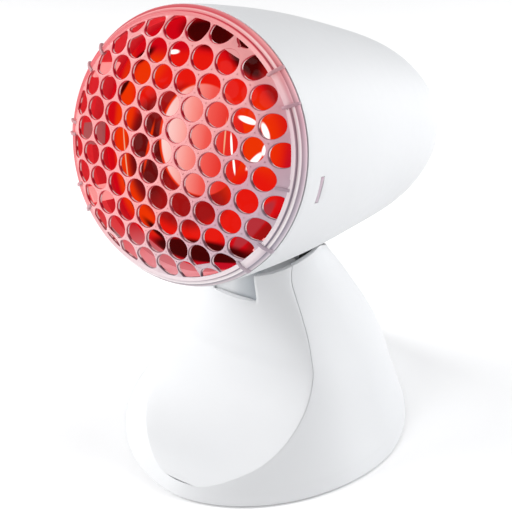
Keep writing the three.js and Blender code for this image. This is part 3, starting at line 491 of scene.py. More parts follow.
comb = {
    "pitch": 9.52,
    "hole": 4.26,
    "plate": 1.7,
    "dome": 13.6,
    "drop": 0.3,
    "fall": (2.1, 41),
    "field": 46.2,
    "perRow": (6, 7, 8, 9, 10, 9, 10, 9, 8, 7, 6),
    "fillet": 0.28,
    "samples": 48,
    # cells at the edge are drawn from this far inside the field, and overlap its circle a little
    "inset": 1.6,
    "overlap": 0.4,
    "rimGap": 0.15,
    "leastHole": 0.3,
    "leastWeb": 0.12,
    "filletShare": 0.9,
    # the lattice gives way towards the edge: place, reach and move
    "pulls": [(46, -25, 21, 1.2, -3.6), (19, 58, 15, -2.5, 4.3), (36, -48, 18, -4.2, 0.2)],
    # where a hole's wall has a painted highlight or a painted shadow: angle, half-width and shade
    "shine": [(177, 20, 1.3), (250, 18, 1.2), (213, 11, -1.6)],
    "shineFade": 1.6,
    # painted shades of the front fillet, wall and back fillet, and the wall's rings as shares of the plate
    "filletShades": (0, 0.5, 0.9, 1),
    "wallShade": -0.7,
    "wallShares": (0.36, 0.46, 0.8),
    "backShade": 0.4,
}
rim = {
    "flange": 47.7,
    "flangeDrop": 0.2,
    "bead": 48.95,
    "beadStep": 1.3,
    "beadRound": 0.5,
    "foot": 50.1,
    "spigot": 47.3,
    "spigotWall": 1.4,
    "spigotDepth": 5,
    "spigotEdge": 0.3,
    "gap": 0.3,
    "sides": 192,
    # from the field's edge to the flange, and from the flange's foot to the bead: outwards and up
    "lap": 0.1,
    "rise": ((0.15, 0.01), (0.5, 0.04), (0.7, 0)),
    "flangeRound": 0.4,
    "valley": ((0.02, 0.3), (0.08, 0.06), (0.25, 0)),
    "rollWidth": 1.4,
    # the foot's two edges above the gap and its chamfer, and how far the wall leans out above it
    "footEdges": (0.5, 0.12),
    "footChamfer": 0.2,
    "draft": 0.04,
    # painted shades of the stepped outline, of the rolled one at four of its points, and of the wall below
    "stepShade": (0, 0, -0.2, -0.6, -1, -1, -1, -0.8, 0, 0.2, 0.4, 0.4, 0.2, 0, -0.4),
    "rollShade": ((0, 5, 10, 14), (0, 0, -0.35, -0.5)),
    "belowShade": (-0.9, -0.1, -0.8, -1, 0, 0, 0, 0, 0),
    # painted light and shade by side: where from, how strong, and the shade below which it leaves lines
    # alone
    "lightFrom": -25,
    "contrast": 0.55,
    "darkLine": -0.5,
}
ribs = {
    "pairs": ((44.5, 29.3), (-5.2,), (-33, -47), (143.5, 153.5), (180, 185.5), (208.5, 220)),
    "reach": {-5.2: (42.8, 47.4)},
    "width": 1.15,
    "proud": 0.5,
    "overhang": 0.55,
    "inner": 45.4,
    "edge": 0.25,
    "closing": 1.6,
    # how deep a rib goes into the flange, its slopes over the two steps, and its end's height
    "depth": 0.8,
    "slopes": (0.6, 0.3),
    "fall": 0.9,
}
tabs = {"angles": (153, 215, 27, -35), "width": 6.4, "inner": 44.9, "outer": 45.8, "low": -9, "high": 2.6}
# the tabs' painted glow of the bulb's light, and their base reds
tabLook = {"Roughness": 0.4, "Emission Color": (0.8, 0.33, 0.32, 1), "Emission Strength": 0.85}
tabReds = ((0.6, 0.25, 0.25), (0.4, 0.1, 0.1))


def domeZ(x, y):
    # a paraboloid that falls away a little more close to the rim
    radius = np.hypot(x, y)
    depth, start = comb["fall"]
    share = np.clip((radius - start) / (comb["field"] - start), 0, 1)
    return comb["dome"] - comb["drop"] * radius**2 / comb["pitch"] ** 2 - depth * share**2 * (3 - 2 * share)


def combCentres():
    # a regular lattice, each centre then moved by the bell-shaped pulls
    middle = (len(comb["perRow"]) - 1) / 2
    rowStep = comb["pitch"] * np.sin(np.pi / 3)
    centres = np.array([((i - (n - 1) / 2) * comb["pitch"], (middle - row) * rowStep)
                        for row, n in enumerate(comb["perRow"]) for i in range(n)])
    moves = np.zeros_like(centres)
    for x, y, reach, dx, dy in comb["pulls"]:
        near = np.exp(-((centres - (x, y)) ** 2).sum(1) / (2 * reach**2))
        moves += near[:, None] * np.array([dx, dy])
    return centres + moves


def honeycomb():
    # for each hole, a ring from its cell's border over a fillet, down the wall and back:
    # the border is the nearest line half-way to another hole, or the field's own circle
    centres = combCentres()
    sites = centres.copy()
    far = np.hypot(*sites.T)
    inside = comb["field"] - comb["inset"]
    sites *= np.where(far > inside, inside / far, 1)[:, None]
    angle = np.arange(comb["samples"]) / comb["samples"] * fullTurn
    way = np.stack([np.cos(angle), np.sin(angle)], -1)
    offset = centres[None] - sites[:, None]
    span = np.hypot(offset[..., 0], offset[..., 1])
    np.fill_diagonal(span, np.inf)
    with np.errstate(all="ignore"):
        reach = (offset @ way.T) / span[..., None]
        border = np.where(reach > 1e-6, span[..., None] / 2 / reach, np.inf)
    border = np.nanmin(border, axis=1)
    along = sites @ way.T

    def toCircle(limit):
        return -along + np.sqrt(along**2 - (sites**2).sum(1)[:, None] + limit**2)

    border = np.minimum(border, toCircle(comb["field"] + comb["overlap"]))
    away = centres - sites
    slide = away @ way.T
    toHole = slide + np.sqrt(np.maximum(slide**2 - (away**2).sum(1)[:, None] + comb["hole"] ** 2, 0))
    hole = np.minimum(toHole, toCircle(comb["field"] - comb["rimGap"]))
    hole = np.clip(hole, comb["leastHole"], border - comb["leastWeb"])
    f = np.minimum(comb["fillet"], (border - hole) * comb["filletShare"])
    t = comb["plate"]
    flat = 0 * f
    turnSteps = np.linspace(0, np.pi / 2, len(comb["filletShades"]))
    fillet = list(zip(1 - np.sin(turnSteps), 1 - np.cos(turnSteps), comb["filletShades"]))
    # a wall's painted light by its place round the hole: bright crescents, a painted shadow between them
    wall = np.full(len(angle), comb["wallShade"])
    for at, half, shade in comb["shine"]:
        near = np.clip(comb["shineFade"] - np.abs(between(np.degrees(angle), at, 360)) / half, 0, 1)
        wall = wall * (1 - near) + shade * near
    # each ring's distance, depth and shade, from the border in front to the border behind
    rings = [(border, flat, flat)]
    rings += [(hole + f * out, f * down, flat - shade) for out, down, shade in fillet]
    rings += [(hole, t * down + flat, shade + flat)
              for down, shade in zip(comb["wallShares"], (-1, wall, wall))]
    rings += [(hole + f * out, t - f * down, flat - comb["backShade"]) for out, down, shade in fillet[::-1]]
    rings += [(border, t + flat, flat)]
    distance, depth, shade = (np.stack([ring[i] for ring in rings], 1) for i in range(3))
    xy = sites[:, None, None, :] + distance[..., None] * way[None, None]
    z = domeZ(xy[..., 0], xy[..., 1]) - depth
    points = np.concatenate([xy, z[..., None]], -1)
    faces = gridFaces(points.shape[1], comb["samples"], around=True).reshape(-1, 4)
    block = points.shape[1] * comb["samples"]
    faces = (faces[None] + (np.arange(len(sites)) * block)[:, None, None]).reshape(-1, 4)
    return points.reshape(-1, 3), faces, shade


def rimProfiles():
    # the stepped outline, and the one that rolls smoothly over the edge, point for point,
    # with each point's shade and whether it lies inside the housing
    top = domeZ(comb["field"], 0)
    flange = top - rim["flangeDrop"]
    bead = flange - rim["beadStep"]
    r = rim["beadRound"]
    turn = np.linspace(np.pi / 2, 0, 6)

    def quarterRound(radius, level, size):
        return np.stack([radius - size + size * np.cos(turn), level - size + size * np.sin(turn)], -1)

    valley = np.array(rim["valley"]) + (rim["flange"], bead)
    step = np.vstack([quarterRound(rim["flange"], flange, rim["flangeRound"]), valley,
                      quarterRound(rim["bead"], bead, r)])
    sweep = np.linspace(0, np.pi / 2, len(step))
    start = rim["flange"] - rim["rollWidth"]
    roll = np.stack([start + (rim["bead"] - start) * np.sin(sweep),
                     flange - (rim["beadStep"] + r) * (1 - np.cos(sweep))], -1)
    rollShade = np.interp(np.arange(len(step)), *rim["rollShade"])
    lap = comb["field"] - rim["lap"]
    inner = [(lap, top - comb["plate"]), (lap, top)]
    inner += [(comb["field"] + out, z + up) for z, (out, up) in zip((top, flange, flange), rim["rise"])]
    foot, gap, deep, spigot = rim["foot"], rim["gap"], rim["spigotDepth"], rim["spigot"]
    below = [(rim["bead"] + rim["draft"], bead - r * 1.5), *((foot, gap + up) for up in rim["footEdges"]),
             (foot - rim["footChamfer"], gap), (spigot, gap), (spigot, rim["spigotEdge"] - deep),
             (spigot - rim["spigotEdge"], -deep), (spigot - rim["spigotWall"], -deep),
             (spigot - rim["spigotWall"], gap)]
    shades = [np.concatenate([[0] * len(inner), middle, rim["belowShade"]])
              for middle in (rim["stepShade"], rollShade)]
    # the plate's edge behind the field and the last points of the spigot lie inside the housing
    inside = np.zeros(len(shades[0]))
    inside[[0, -3, -2, -1]] = 1
    return np.vstack([inner, step, below]), np.vstack([inner, roll, below]), *shades, inside


def guardRim():
    # carried round the axis; the share of the rolled outline is 1 between the two ribs of a pair
    step, roll, stepShade, rollShade, inside = rimProfiles()
    angle = np.arange(rim["sides"]) / rim["sides"] * 360
    share = np.zeros(len(angle))
    for pair in ribs["pairs"]:
        half = abs(pair[0] - pair[-1]) / 2
        away = np.abs(between(angle, (pair[0] + pair[-1]) / 2, 360))
        rolled = np.clip((half + ribs["closing"] / 2 - away) / ribs["closing"], 0, 1)
        share = np.maximum(share, rolled * (half > 0))
    share = (share * share * (3 - 2 * share))[None, :]
    outline = step[:, None] * (1 - share[..., None]) + roll[:, None] * share[..., None]
    shade = stepShade[:, None] * (1 - share) + rollShade[:, None] * share
    a = np.radians(angle)[None]
    points = aboutZ(outline[..., 0], 0, outline[..., 1], a)
    # painted light by side: lighter at the right, and at the left darker and red, as if holding the bulb's
    # red
    side = np.cos(a - np.radians(rim["lightFrom"]))
    shade = shade + np.where(shade > rim["darkLine"], rim["contrast"] * side, 0)
    faces = gridFaces(len(step), rim["sides"], around=True).reshape(-1, 4)
    last = (len(step) - 1) * rim["sides"]
    i = np.arange(rim["sides"])
    n = (i + 1) % rim["sides"]
    marks = {"shade": shade, "inside": inside[:, None] + 0 * shade}
    return points, np.vstack([faces, np.stack([last + i, last + n, n, i], -1)]), marks


def ribPlate(angle, level):
    # an outline in radius and height, given its width across and turned to its place
    inner, outer = ribs["reach"].get(angle, (ribs["inner"], rim["foot"] + ribs["overhang"]))
    bead = level - rim["beadStep"]
    flangeSlope, beadSlope = ribs["slopes"]
    low = rim["gap"] * 2
    outline = np.array([(inner, level - ribs["depth"]), (inner, domeZ(inner, 0) + ribs["proud"]),
                        (min(rim["flange"], outer - flangeSlope), level + ribs["proud"]),
                        (min(rim["bead"] + beadSlope, outer - beadSlope), bead + ribs["proud"]),
                        (outer, bead - ribs["fall"]), (outer, low), (rim["flange"] - ribs["depth"], low)])
    count = len(outline)
    across = np.repeat([-ribs["width"] / 2, ribs["width"] / 2], count)
    points = aboutZ(np.tile(outline[:, 0], 2), across, np.tile(outline[:, 1], 2), np.radians(angle))
    i = np.arange(count)
    sides = np.stack([i, (i + 1) % count, (i + 1) % count + count, i + count], -1)
    return points, [sides, i[None, ::-1], (i + count)[None]]


def blockAround(angle, low, high):
    # a bar between two corners (radius, across, z), turned about Z
    xs, ys, zs = zip(low, high)
    corner = np.array([[x, y, z] for x in xs for y in ys for z in zs])
    faces = np.array([(0, 1, 3, 2), (4, 6, 7, 5), (0, 4, 5, 1), (2, 3, 7, 6), (0, 2, 6, 4), (1, 5, 7, 3)])
    return aboutZ(*corner.T, np.radians(angle)), faces


def joinBlocks(blocks):
    points, faces, start = [], [], 0
    for p, f in blocks:
        p = np.asarray(p).reshape(-1, 3)
        points.append(p)
        faces += [part + start for part in (f if isinstance(f, list) else [f])]
        start += len(p)
    return np.vstack(points), faces


def litTab():
    # clear plastic with the bulb's full light painted on it as a glow
    material, tree, shader, place = blankFinish("litTab", tabLook)
    cloud = noise(tree, place, 300, 3)
    tree.links.new(blendColours(tree, cloud, *tabReds), shader.inputs["Base Color"])
    bump(tree, shader, cloud, 0.02)
    return material


def frontGuard(finish, ribFinish, latchFinish):
    points, faces, shade = honeycomb()
    field = newPiece("guard_honeycomb", headToLamp(points), [faces], merge=0.004, marks={"shade": shade})
    dress(settle(field, angle=60), "head", finish, "clear_guard", "front_guard")
    points, faces, marks = guardRim()
    ring = newPiece("guard_rim", headToLamp(points), [faces], marks=marks)
    dress(settle(ring, angle=50), "head", finish, "clear_guard", "front_guard")
    level = domeZ(comb["field"], 0) - rim["flangeDrop"]
    plates = [ribPlate(angle, level) for angle in sorted(set(sum(ribs["pairs"], ())))]
    armOuter = rim["spigot"] - rim["gap"]
    half = latch["width"] / 2 - latch["play"]
    deep = latch["depth"] / 2 - latch["play"]
    corner = (armOuter - latch["arm"], -half, -latch["setback"] - deep)
    ends = ((armOuter, half, 0), (housing["radius"] - latch["short"], half, -latch["setback"] + deep))
    hooks = [blockAround(angle, corner, end) for angle in latch["angles"] for end in ends]
    halfTab = tabs["width"] / 2
    low, high = (tabs["inner"], -halfTab, tabs["low"]), (tabs["outer"], halfTab, tabs["high"])
    flaps = [blockAround(angle, low, high) for angle in tabs["angles"]]
    for name, blocks, blockFinish, segments, angle in (
            ("guard_ribs", plates, ribFinish, 2, 30),
            ("guard_latches", hooks, latchFinish, 3, 50),
            ("guard_tabs", flaps, litTab(), 3, 50)):
        points, faces = joinBlocks(blocks)
        piece = roundEdges(newPiece(name, headToLamp(points), faces), ribs["edge"], segments, angle)
        dress(settle(piece, angle=45), "head", blockFinish, "clear_guard", "front_guard")


# The guard's colours, with light painted in: rose at the upper left, where the bulb's red light is painted
# strongest, to grey at the lower right. Places on the web and line ramps are shares of the way across
guardPaintedLight = {
    "web": [(0.0, (0.5, 0.2, 0.2)), (0.6, (0.6, 0.25, 0.25)), (0.8, (0.45, 0.25, 0.3)),
            (1.0, (0.4, 0.35, 0.4))],
    "line": [(0.0, (0.45, 0.01, 0.03)), (0.5, (0.4, 0.01, 0.03)), (0.75, (0.2, 0.1, 0.12)),
             (1.0, (0.14, 0.14, 0.17))],
    # a painted shadow and a painted highlight for the holes' walls, paler colours low down, and the grey
    # that darkens copies
    "shadow": (0.14, 0.008, 0.02),
    "white": (0.72, 0.68, 0.68),
    "webLow": (0.5, 0.44, 0.46),
    "lineLow": (0.14, 0.14, 0.17),
    "dark": (0.2, 0.15, 0.18),
    # low down web and line turn to their paler colours, by at most this share
    "low": (-46, -26),
    "lowShare": 0.8,
    "slant": (0.866, -0.5, 0),
    "across": (-50, 50),
    # the painted glow of the guard's own colour
    "glow": 0.3,
}


def clearPlastic(name, roughness, tone=1.0):
    # shade is above 0 where a highlight is painted on an edge and below 0 where a dark line or shadow is
    # painted
    material, tree, shader, place = blankFinish(name, {
        "Roughness": roughness, "IOR": 1.49, "Transmission Weight": 0.05, "Specular IOR Level": 0.15})
    where = onHead(tree, place, (0, 0, 0))
    slant = tree.nodes.new("ShaderNodeVectorMath")
    slant.operation = "DOT_PRODUCT"
    slant.inputs[1].default_value = guardPaintedLight["slant"]
    tree.links.new(where, slant.inputs[0])
    along = stretch(tree, slant.outputs["Value"], *guardPaintedLight["across"])
    shade, inside = tree.nodes.new("ShaderNodeAttribute"), tree.nodes.new("ShaderNodeAttribute")
    shade.attribute_name, inside.attribute_name = "shade", "inside"
    low = stretch(tree, axesOf(tree, where)["Y"], *guardPaintedLight["low"], guardPaintedLight["lowShare"], 0)
    web, line = (blendColours(tree, low, rampOf(tree, along, guardPaintedLight[part]), guardPaintedLight[part + "Low"])
                 for part in ("web", "line"))
    # a darker copy is blended towards grey by 1 - tone, a painted shade
    colour = blendColours(tree, 1 - tone, web, guardPaintedLight["dark"])
    for bounds, over in (((0, -1), line), ((-1, -2), guardPaintedLight["shadow"]), ((0, 1), guardPaintedLight["white"])):
        colour = blendColours(tree, stretch(tree, shade.outputs["Fac"], *bounds), colour, over)
    tree.links.new(colour, shader.inputs["Base Color"])
    # painted glow: a little of its own colour, and the bulb's painted red light on the parts inside the
    # housing
    through = blendColours(tree, guardPaintedLight["glow"], (0, 0, 0), colour)
    lit = blendColours(tree, inside.outputs["Fac"], through, redLight(tree, where))
    tree.links.new(lit, shader.inputs["Emission Color"])
    shader.inputs["Emission Strength"].default_value = 1
    bump(tree, shader, noise(tree, place, 160, 2), 0.01)
    return material


# the ribs' and latches' copies are darkened towards grey by their tone, a painted shade
frontGuard(clearPlastic("clearGuard", 0.3), clearPlastic("clearRib", 0.3, tone=0.5),
           clearPlastic("clearLatch", 0.35, tone=0.8))
print("front guard made")


# Infrared bulb: its red face, because the rest of the bulb keeps its CAD solids

bulb = {
    "radius": 47.5,
    "faceSetback": 5,
    "faceDrop": 7,
    "seamSetback": 19,
    "glass": 1.6,
    "rings": 28,
    "firstRing": 0.02,
    "sides": 128,
}


def bulbFace(material):
    # a shallow dome that rolls over into the seam: z = -setback - drop (1 - cos t) - rise (1 - cos(t)^(1/2))
    turn = np.linspace(bulb["firstRing"], np.pi / 2, bulb["rings"])[:, None]
    rise = bulb["seamSetback"] - bulb["faceSetback"] - bulb["faceDrop"]
    z = -bulb["faceSetback"] - bulb["faceDrop"] * (1 - np.cos(turn)) - rise * (1 - np.sqrt(np.cos(turn)))
    angle = np.arange(bulb["sides"])[None] / bulb["sides"] * fullTurn
    points = aboutZ(bulb["radius"] * np.sin(turn), 0, z + 0 * angle, angle).reshape(-1, 3)
    cap = capFaces(0, bulb["sides"], len(points))
    points = np.vstack([points, [[0, 0, -bulb["faceSetback"]]]])
    faces = [gridFaces(bulb["rings"], bulb["sides"], around=True), cap]
    piece = thicken(newPiece("bulb_face_glass", headToLamp(points), faces), bulb["glass"])
    dress(settle(piece, angle=60), "head", material, "red_glass", "bulb_face")


# The light in the face: ellipses (x, y, half-width, half-height, turn, softness) in the head's frame,
# each reaching through the glass, and a faint cloudiness under them
glow = {
    "strength": 1.0,
    "middle": (0.46, 0.48),
    "depth": 1000,
    "cloud": 0.05,
    "red": ((0.55, 0.001, 0.008), (0.66, 0.003, 0.005)),
    "paints": {
        "orange": (0.8, 0.034, 0.001), "orangeRed": (0.75, 0.009, 0.004), "maroon": (0.3, 0.006, 0.006),
        "dark": (0.09, 0.004, 0.004), "black": (0.012, 0.001, 0.001), "crimson": (0.5, 0.004, 0.016),
        "rose": (0.42, 0.03, 0.04), "white": (1.25, 1.2, 1.15), "line": (0.85, 0.42, 0.25),
    },
    "under": [
        ("crimson", (43, 0, 7, 16, 0, 0.3)),
        ("orangeRed", (-2, -2, 37, 35, 0, 0.05)),
        ("orange", (-33, -4, 5.5, 27, 8, 0.35)),
        ("orange", (-24, -27, 13, 6, -48, 0.45)),
        ("orange", (-26, 22, 9, 5, 40, 0.5)),
        ("black", (-36, 16.5, 8, 1.3, 64, 0.4)),
        ("black", (-30, 27, 6, 1.8, 38, 0.4)),
        ("dark", (-29.5, -24, 8, 1.0, -62, 0.5)),
        ("maroon", (-5, -6, 25, 26, 0, 0.1)),
        ("dark", (-20, -8, 9, 17, 6, 0.35)),
        ("orange", (-20, -5, 0.7, 9, -8, 0.4)),
        ("orange", (22, 3, 11, 17, -10, 0.5)),
        ("orangeRed", (26, -12, 9, 9, 0, 0.4)),
        ("black", (-3, 39.5, 12, 5, -3, 0.35)),
        ("black", (15, 35, 11, 5.5, -35, 0.3)),
        ("maroon", (28, 26, 9, 3.5, -48, 0.4)),
        ("rose", (27, -24, 13, 2.4, 57, 0.15)),
        ("maroon", (31.5, -28, 13, 3.6, 56, 0.3)),
        ("black", (5, -39.5, 23, 4.6, 8, 0.22)),
        ("black", (-14, -36.5, 7, 1.6, -25, 0.5)),
        ("crimson", (14, -43.8, 14, 1.8, 12, 0.2)),
        ("orange", (2.4, 2.4, 18, 20.3, 0, 0.02)),
    ],
    "neck": (3, 2.5, 17.5, 20, 0, 0.02),
    "neckColours": [(0.0, (0.94, 0.7, 0.66)), (0.16, (0.92, 0.52, 0.48)), (0.36, (0.9, 0.28, 0.24)),
                    (0.56, (0.83, 0.1, 0.08)), (0.78, (0.76, 0.03, 0.02)), (1.0, (0.72, 0.01, 0.006))],
    # painted white highlights and pale lines, on top of the rest
    "over": [
        ("white", (20.2, 13.2, 3.6, 1.1, -8, 0.2)),
        ("white", (27.4, 10.6, 3.2, 1.1, -58, 0.25)),
        ("white", (28.4, 4.6, 2.4, 1.0, 78, 0.25)),
        ("white", (25.0, -0.4, 4.2, 1.1, 55, 0.25)),
        ("white", (15.6, 3.2, 4.2, 0.42, 102, 0.3)),
        ("white", (17.6, -3.6, 3.0, 0.42, 104, 0.3)),
        ("white", (-15.5, 31.0, 2.4, 0.8, 12, 0.3)),
        ("line", (12.6, 5, 6, 0.3, 94, 0.5)),
        ("line", (-31.6, -11, 13, 0.35, 104, 0.4)),
    ],
}


def glowingGlass():
    # light seen through the red face, painted by places on the face
    material, tree, shader, place = blankFinish("redGlass", {
        "Base Color": (0.05, 0.0, 0.0, 1), "Roughness": 0.06, "IOR": 1.5, "Specular IOR Level": 0.02})
    onFace = onHead(tree, place, (*glow["middle"], -bulb["faceSetback"]))

    def patch(x, y, halfWidth, halfHeight, turn, soft):
        # 1 inside an ellipse on the face, 0 outside, with a soft edge
        scale = (halfWidth, halfHeight, glow["depth"])
        size = tree.nodes.new("ShaderNodeVectorMath")
        size.operation = "LENGTH"
        tree.links.new(seenFrom(tree, onFace, (x, y, 0), (0, 0, np.radians(turn)), scale), size.inputs[0])
        return stretch(tree, size.outputs["Value"], 1 - soft, 1 + soft, 1, 0, "SMOOTHSTEP")

    # the bulb's open neck is pale at its left and red towards its right
    middle, halfWidth = glow["neck"][0], glow["neck"][2]
    along = stretch(tree, axesOf(tree, onFace)["X"], middle - halfWidth, middle + halfWidth)
    neck = rampOf(tree, along, glow["neckColours"])
    colour = blendColours(tree, spread(tree, noise(tree, onFace, glow["cloud"], 2), 0, 1), *glow["red"])
    paints = {**glow["paints"], "neck": neck}
    for name, ellipse in (*glow["under"], ("neck", glow["neck"]), *glow["over"]):
        colour = blendColours(tree, patch(*ellipse), colour, paints[name])
    tree.links.new(colour, shader.inputs["Emission Color"])
    shader.inputs["Emission Strength"].default_value = glow["strength"]
    return material


finishes["redGlass"] = glowingGlass()
bulbFace(finishes["redGlass"])
print("bulb made")


# Stand: a flared shell, cut by the housing's sweep, the arched front panel and the neck cover

stand = {
    "halfWidth": 64.7,
    "halfDepth": 71.7,
    "height": 103,
    "squareness": 1.81,
    "lift": 1,
    "neckWidth": 0.408,
    "neckDepth": 0.314,
    "neckForward": 0.17,
    "width": [(0, 0), (0.14, 0.2), (0.34, 0.436), (0.58, 0.776), (0.8, 0.985), (1, 1)],
    "depth": [(0, 0), (0.14, 0.116), (0.34, 0.319), (0.58, 0.583), (0.8, 0.827), (1, 1)],
    "lean": [(0, 0), (0.14, -0.22), (0.34, -0.51), (0.58, -0.303), (0.8, 0.246), (1, 1)],
    "wall": 1.7,
    "saddle": 1.0,
    "tiltRange": 10,
    "tiltSteps": 11,
    "columns": 120,
    "rows": 70,
    "footRows": 4,
    "fineSteps": 4000,
    # the housing meets the walls higher than this above the panel's foot
    "clearAbove": 20,
    "edge": 0.5,
}
panel = {
    "halfWidth": 37,
    "foot": 6,
    "top": 103,
    "bulge": 13,
    "wall": 1.7,
    "arch": [(0, 0.22), (0.01, 0.34), (0.035, 0.52), (0.083, 0.77), (0.14, 0.91), (0.215, 0.985), (0.29, 1),
             (0.38, 0.965), (0.454, 0.897), (0.55, 0.805), (0.64, 0.722), (0.73, 0.65), (0.804, 0.614),
             (0.88, 0.63), (0.96, 0.69), (1, 0.72)],
    "forward": [(0, 0.02), (0.15, 0.115), (0.4, 0.46), (0.66, 0.72), (1, 1)],
    "rounding": 0.75,
    "notch": (10, 73),
    "notchRound": 2.2,
    "seam": 0.12,
    # columns share out the arch's width at columnsAt, and from followFrom up they close in on the notch
    "columnsAt": 88.0,
    "followFrom": 45,
    # the notch's rounded edge starts this far below its floor, is full after roundRun, and is this deep
    "roundBelow": 1.5,
    "roundRun": 2,
    "roundDepth": 0.8,
    "searchBelow": 10,
    "rows": 90,
    "rowsAbove": 12,
    # columns on the notch's rounded edge, beside it and across the notch
    "columns": (6, 20, 12),
    "fineSteps": 3000,
    "edge": 0.35,
}
searchSteps = 700


def standSection(z):
    # half-width, half-depth and middle at a level
    share = z / stand["height"]
    w, d = smoothCurve(stand["width"], share), smoothCurve(stand["depth"], share)
    return (stand["halfWidth"] * (1 - (1 - stand["neckWidth"]) * w),
            stand["halfDepth"] * (1 - (1 - stand["neckDepth"]) * d),
            -stand["halfDepth"] * stand["neckForward"] * smoothCurve(stand["lean"], share))


def standSkin(angle, z):
    # a squared ellipse at each level; angle 0 is straight ahead and grows towards +X
    halfWidth, halfDepth, middle = standSection(z)
    s, c = np.sin(angle), np.cos(angle)
    power = 2 / stand["squareness"]
    return np.stack([halfWidth * np.sign(s) * np.abs(s) ** power,
                     middle - halfDepth * np.sign(c) * np.abs(c) ** power + standMiddle, z + 0 * angle], -1)


def frontAngle(x, z):
    # the angle at which the skin has this x in front
    halfWidth = standSection(z)[0]
    return np.arcsin(np.clip(np.abs(x) / halfWidth, 0, 1) ** (stand["squareness"] / 2))


def archHalf(z):
    # half-width of the panel's arch at a height
    share = (np.asarray(z, float) - panel["foot"]) / (panel["top"] - panel["foot"])
    return panel["halfWidth"] * smoothCurve(panel["arch"], share)


def evenHeights(half, heights, count):
    # heights evenly spaced along the arch's edge
    run = np.concatenate([[0], np.cumsum(np.hypot(np.diff(half), np.diff(heights)))])
    return np.interp(np.linspace(0, run[-1], count), run, heights)


def depthInHousing(points, tilt, grow):
    x, y, z = np.moveaxis(lampToHead(points, tilt), -1, 0)
    radius, droop = housingRadiusAt(np.maximum(-z, 0), grow)
    beyond = (z > housing["ahead"]) | (-z > housing["length"])
    return np.where(beyond, -np.inf, radius - np.hypot(x, y + droop))


def sweptDepth(points):
    # how deep a point lies inside what the housing sweeps over, over all its tilts
    tilts = np.linspace(-stand["tiltRange"], stand["tiltRange"], stand["tiltSteps"])
    return np.max([depthInHousing(points, tilt, stand["saddle"]) for tilt in tilts], 0)


def topOf(place, columns, low, high, depthOf=sweptDepth):
    # first height at which each column's point meets the swept housing
    z = np.linspace(low, high, searchSteps)[:, None] + 0 * columns[None]
    depth = depthOf(place(columns[None] + 0 * z, z))
    inside = depth > 0
    first = np.where(inside.any(0), inside.argmax(0), len(z) - 1)
    step = (high - low) / (searchSteps - 1)
    after = np.take_along_axis(depth, first[None], 0)[0]
    before = np.take_along_axis(depth, np.maximum(first - 1, 0)[None], 0)[0]
    share = np.where(np.isfinite(before) & (after > before), -before / (after - before), 1)
    return low + step * (first - 1 + np.clip(share, 0, 1))


def standShell(material):
    # rows from the foot up; the first are whole rings, the rest are open in front along the arch's edge
    foot, low = panel["foot"], panel["foot"] + stand["clearAbove"]

    def alongSeam(u, z):
        return standSkin(frontAngle(archHalf(z) + panel["seam"], z), z)

    seamTop = topOf(alongSeam, np.array([0.0]), low, stand["height"])[0]
    heights = np.linspace(foot, seamTop, stand["fineSteps"])
    half = archHalf(heights) + panel["seam"]
    half[0] = 0
    seamZ = evenHeights(half, heights, stand["rows"])
    seamAngle = frontAngle(np.interp(seamZ, heights, half), seamZ)[:, None]
    u = np.linspace(0, 1, stand["columns"] + 1)[None]
    angle = seamAngle + u * (fullTurn - 2 * seamAngle)
    top = topOf(standSkin, angle[-1], low, stand["height"])
    upper = standSkin(angle, foot + ((seamZ - foot) / (seamTop - foot))[:, None] * (top - foot)[None])
    footZ = np.linspace(stand["lift"], foot, stand["footRows"] + 1)[:-1, None]
    lower = standSkin(u * fullTurn + 0 * footZ, footZ + 0 * u)
    points = np.concatenate([lower, upper])
    piece = newPiece("stand_shell_moulding", points, [gridFaces(*points.shape[:2])], merge=0.01)
    thicken(piece, stand["wall"], stand["edge"], segments=3, even=False)
    dress(settle(piece), "stand", material, "white_plastic", "stand_shell")


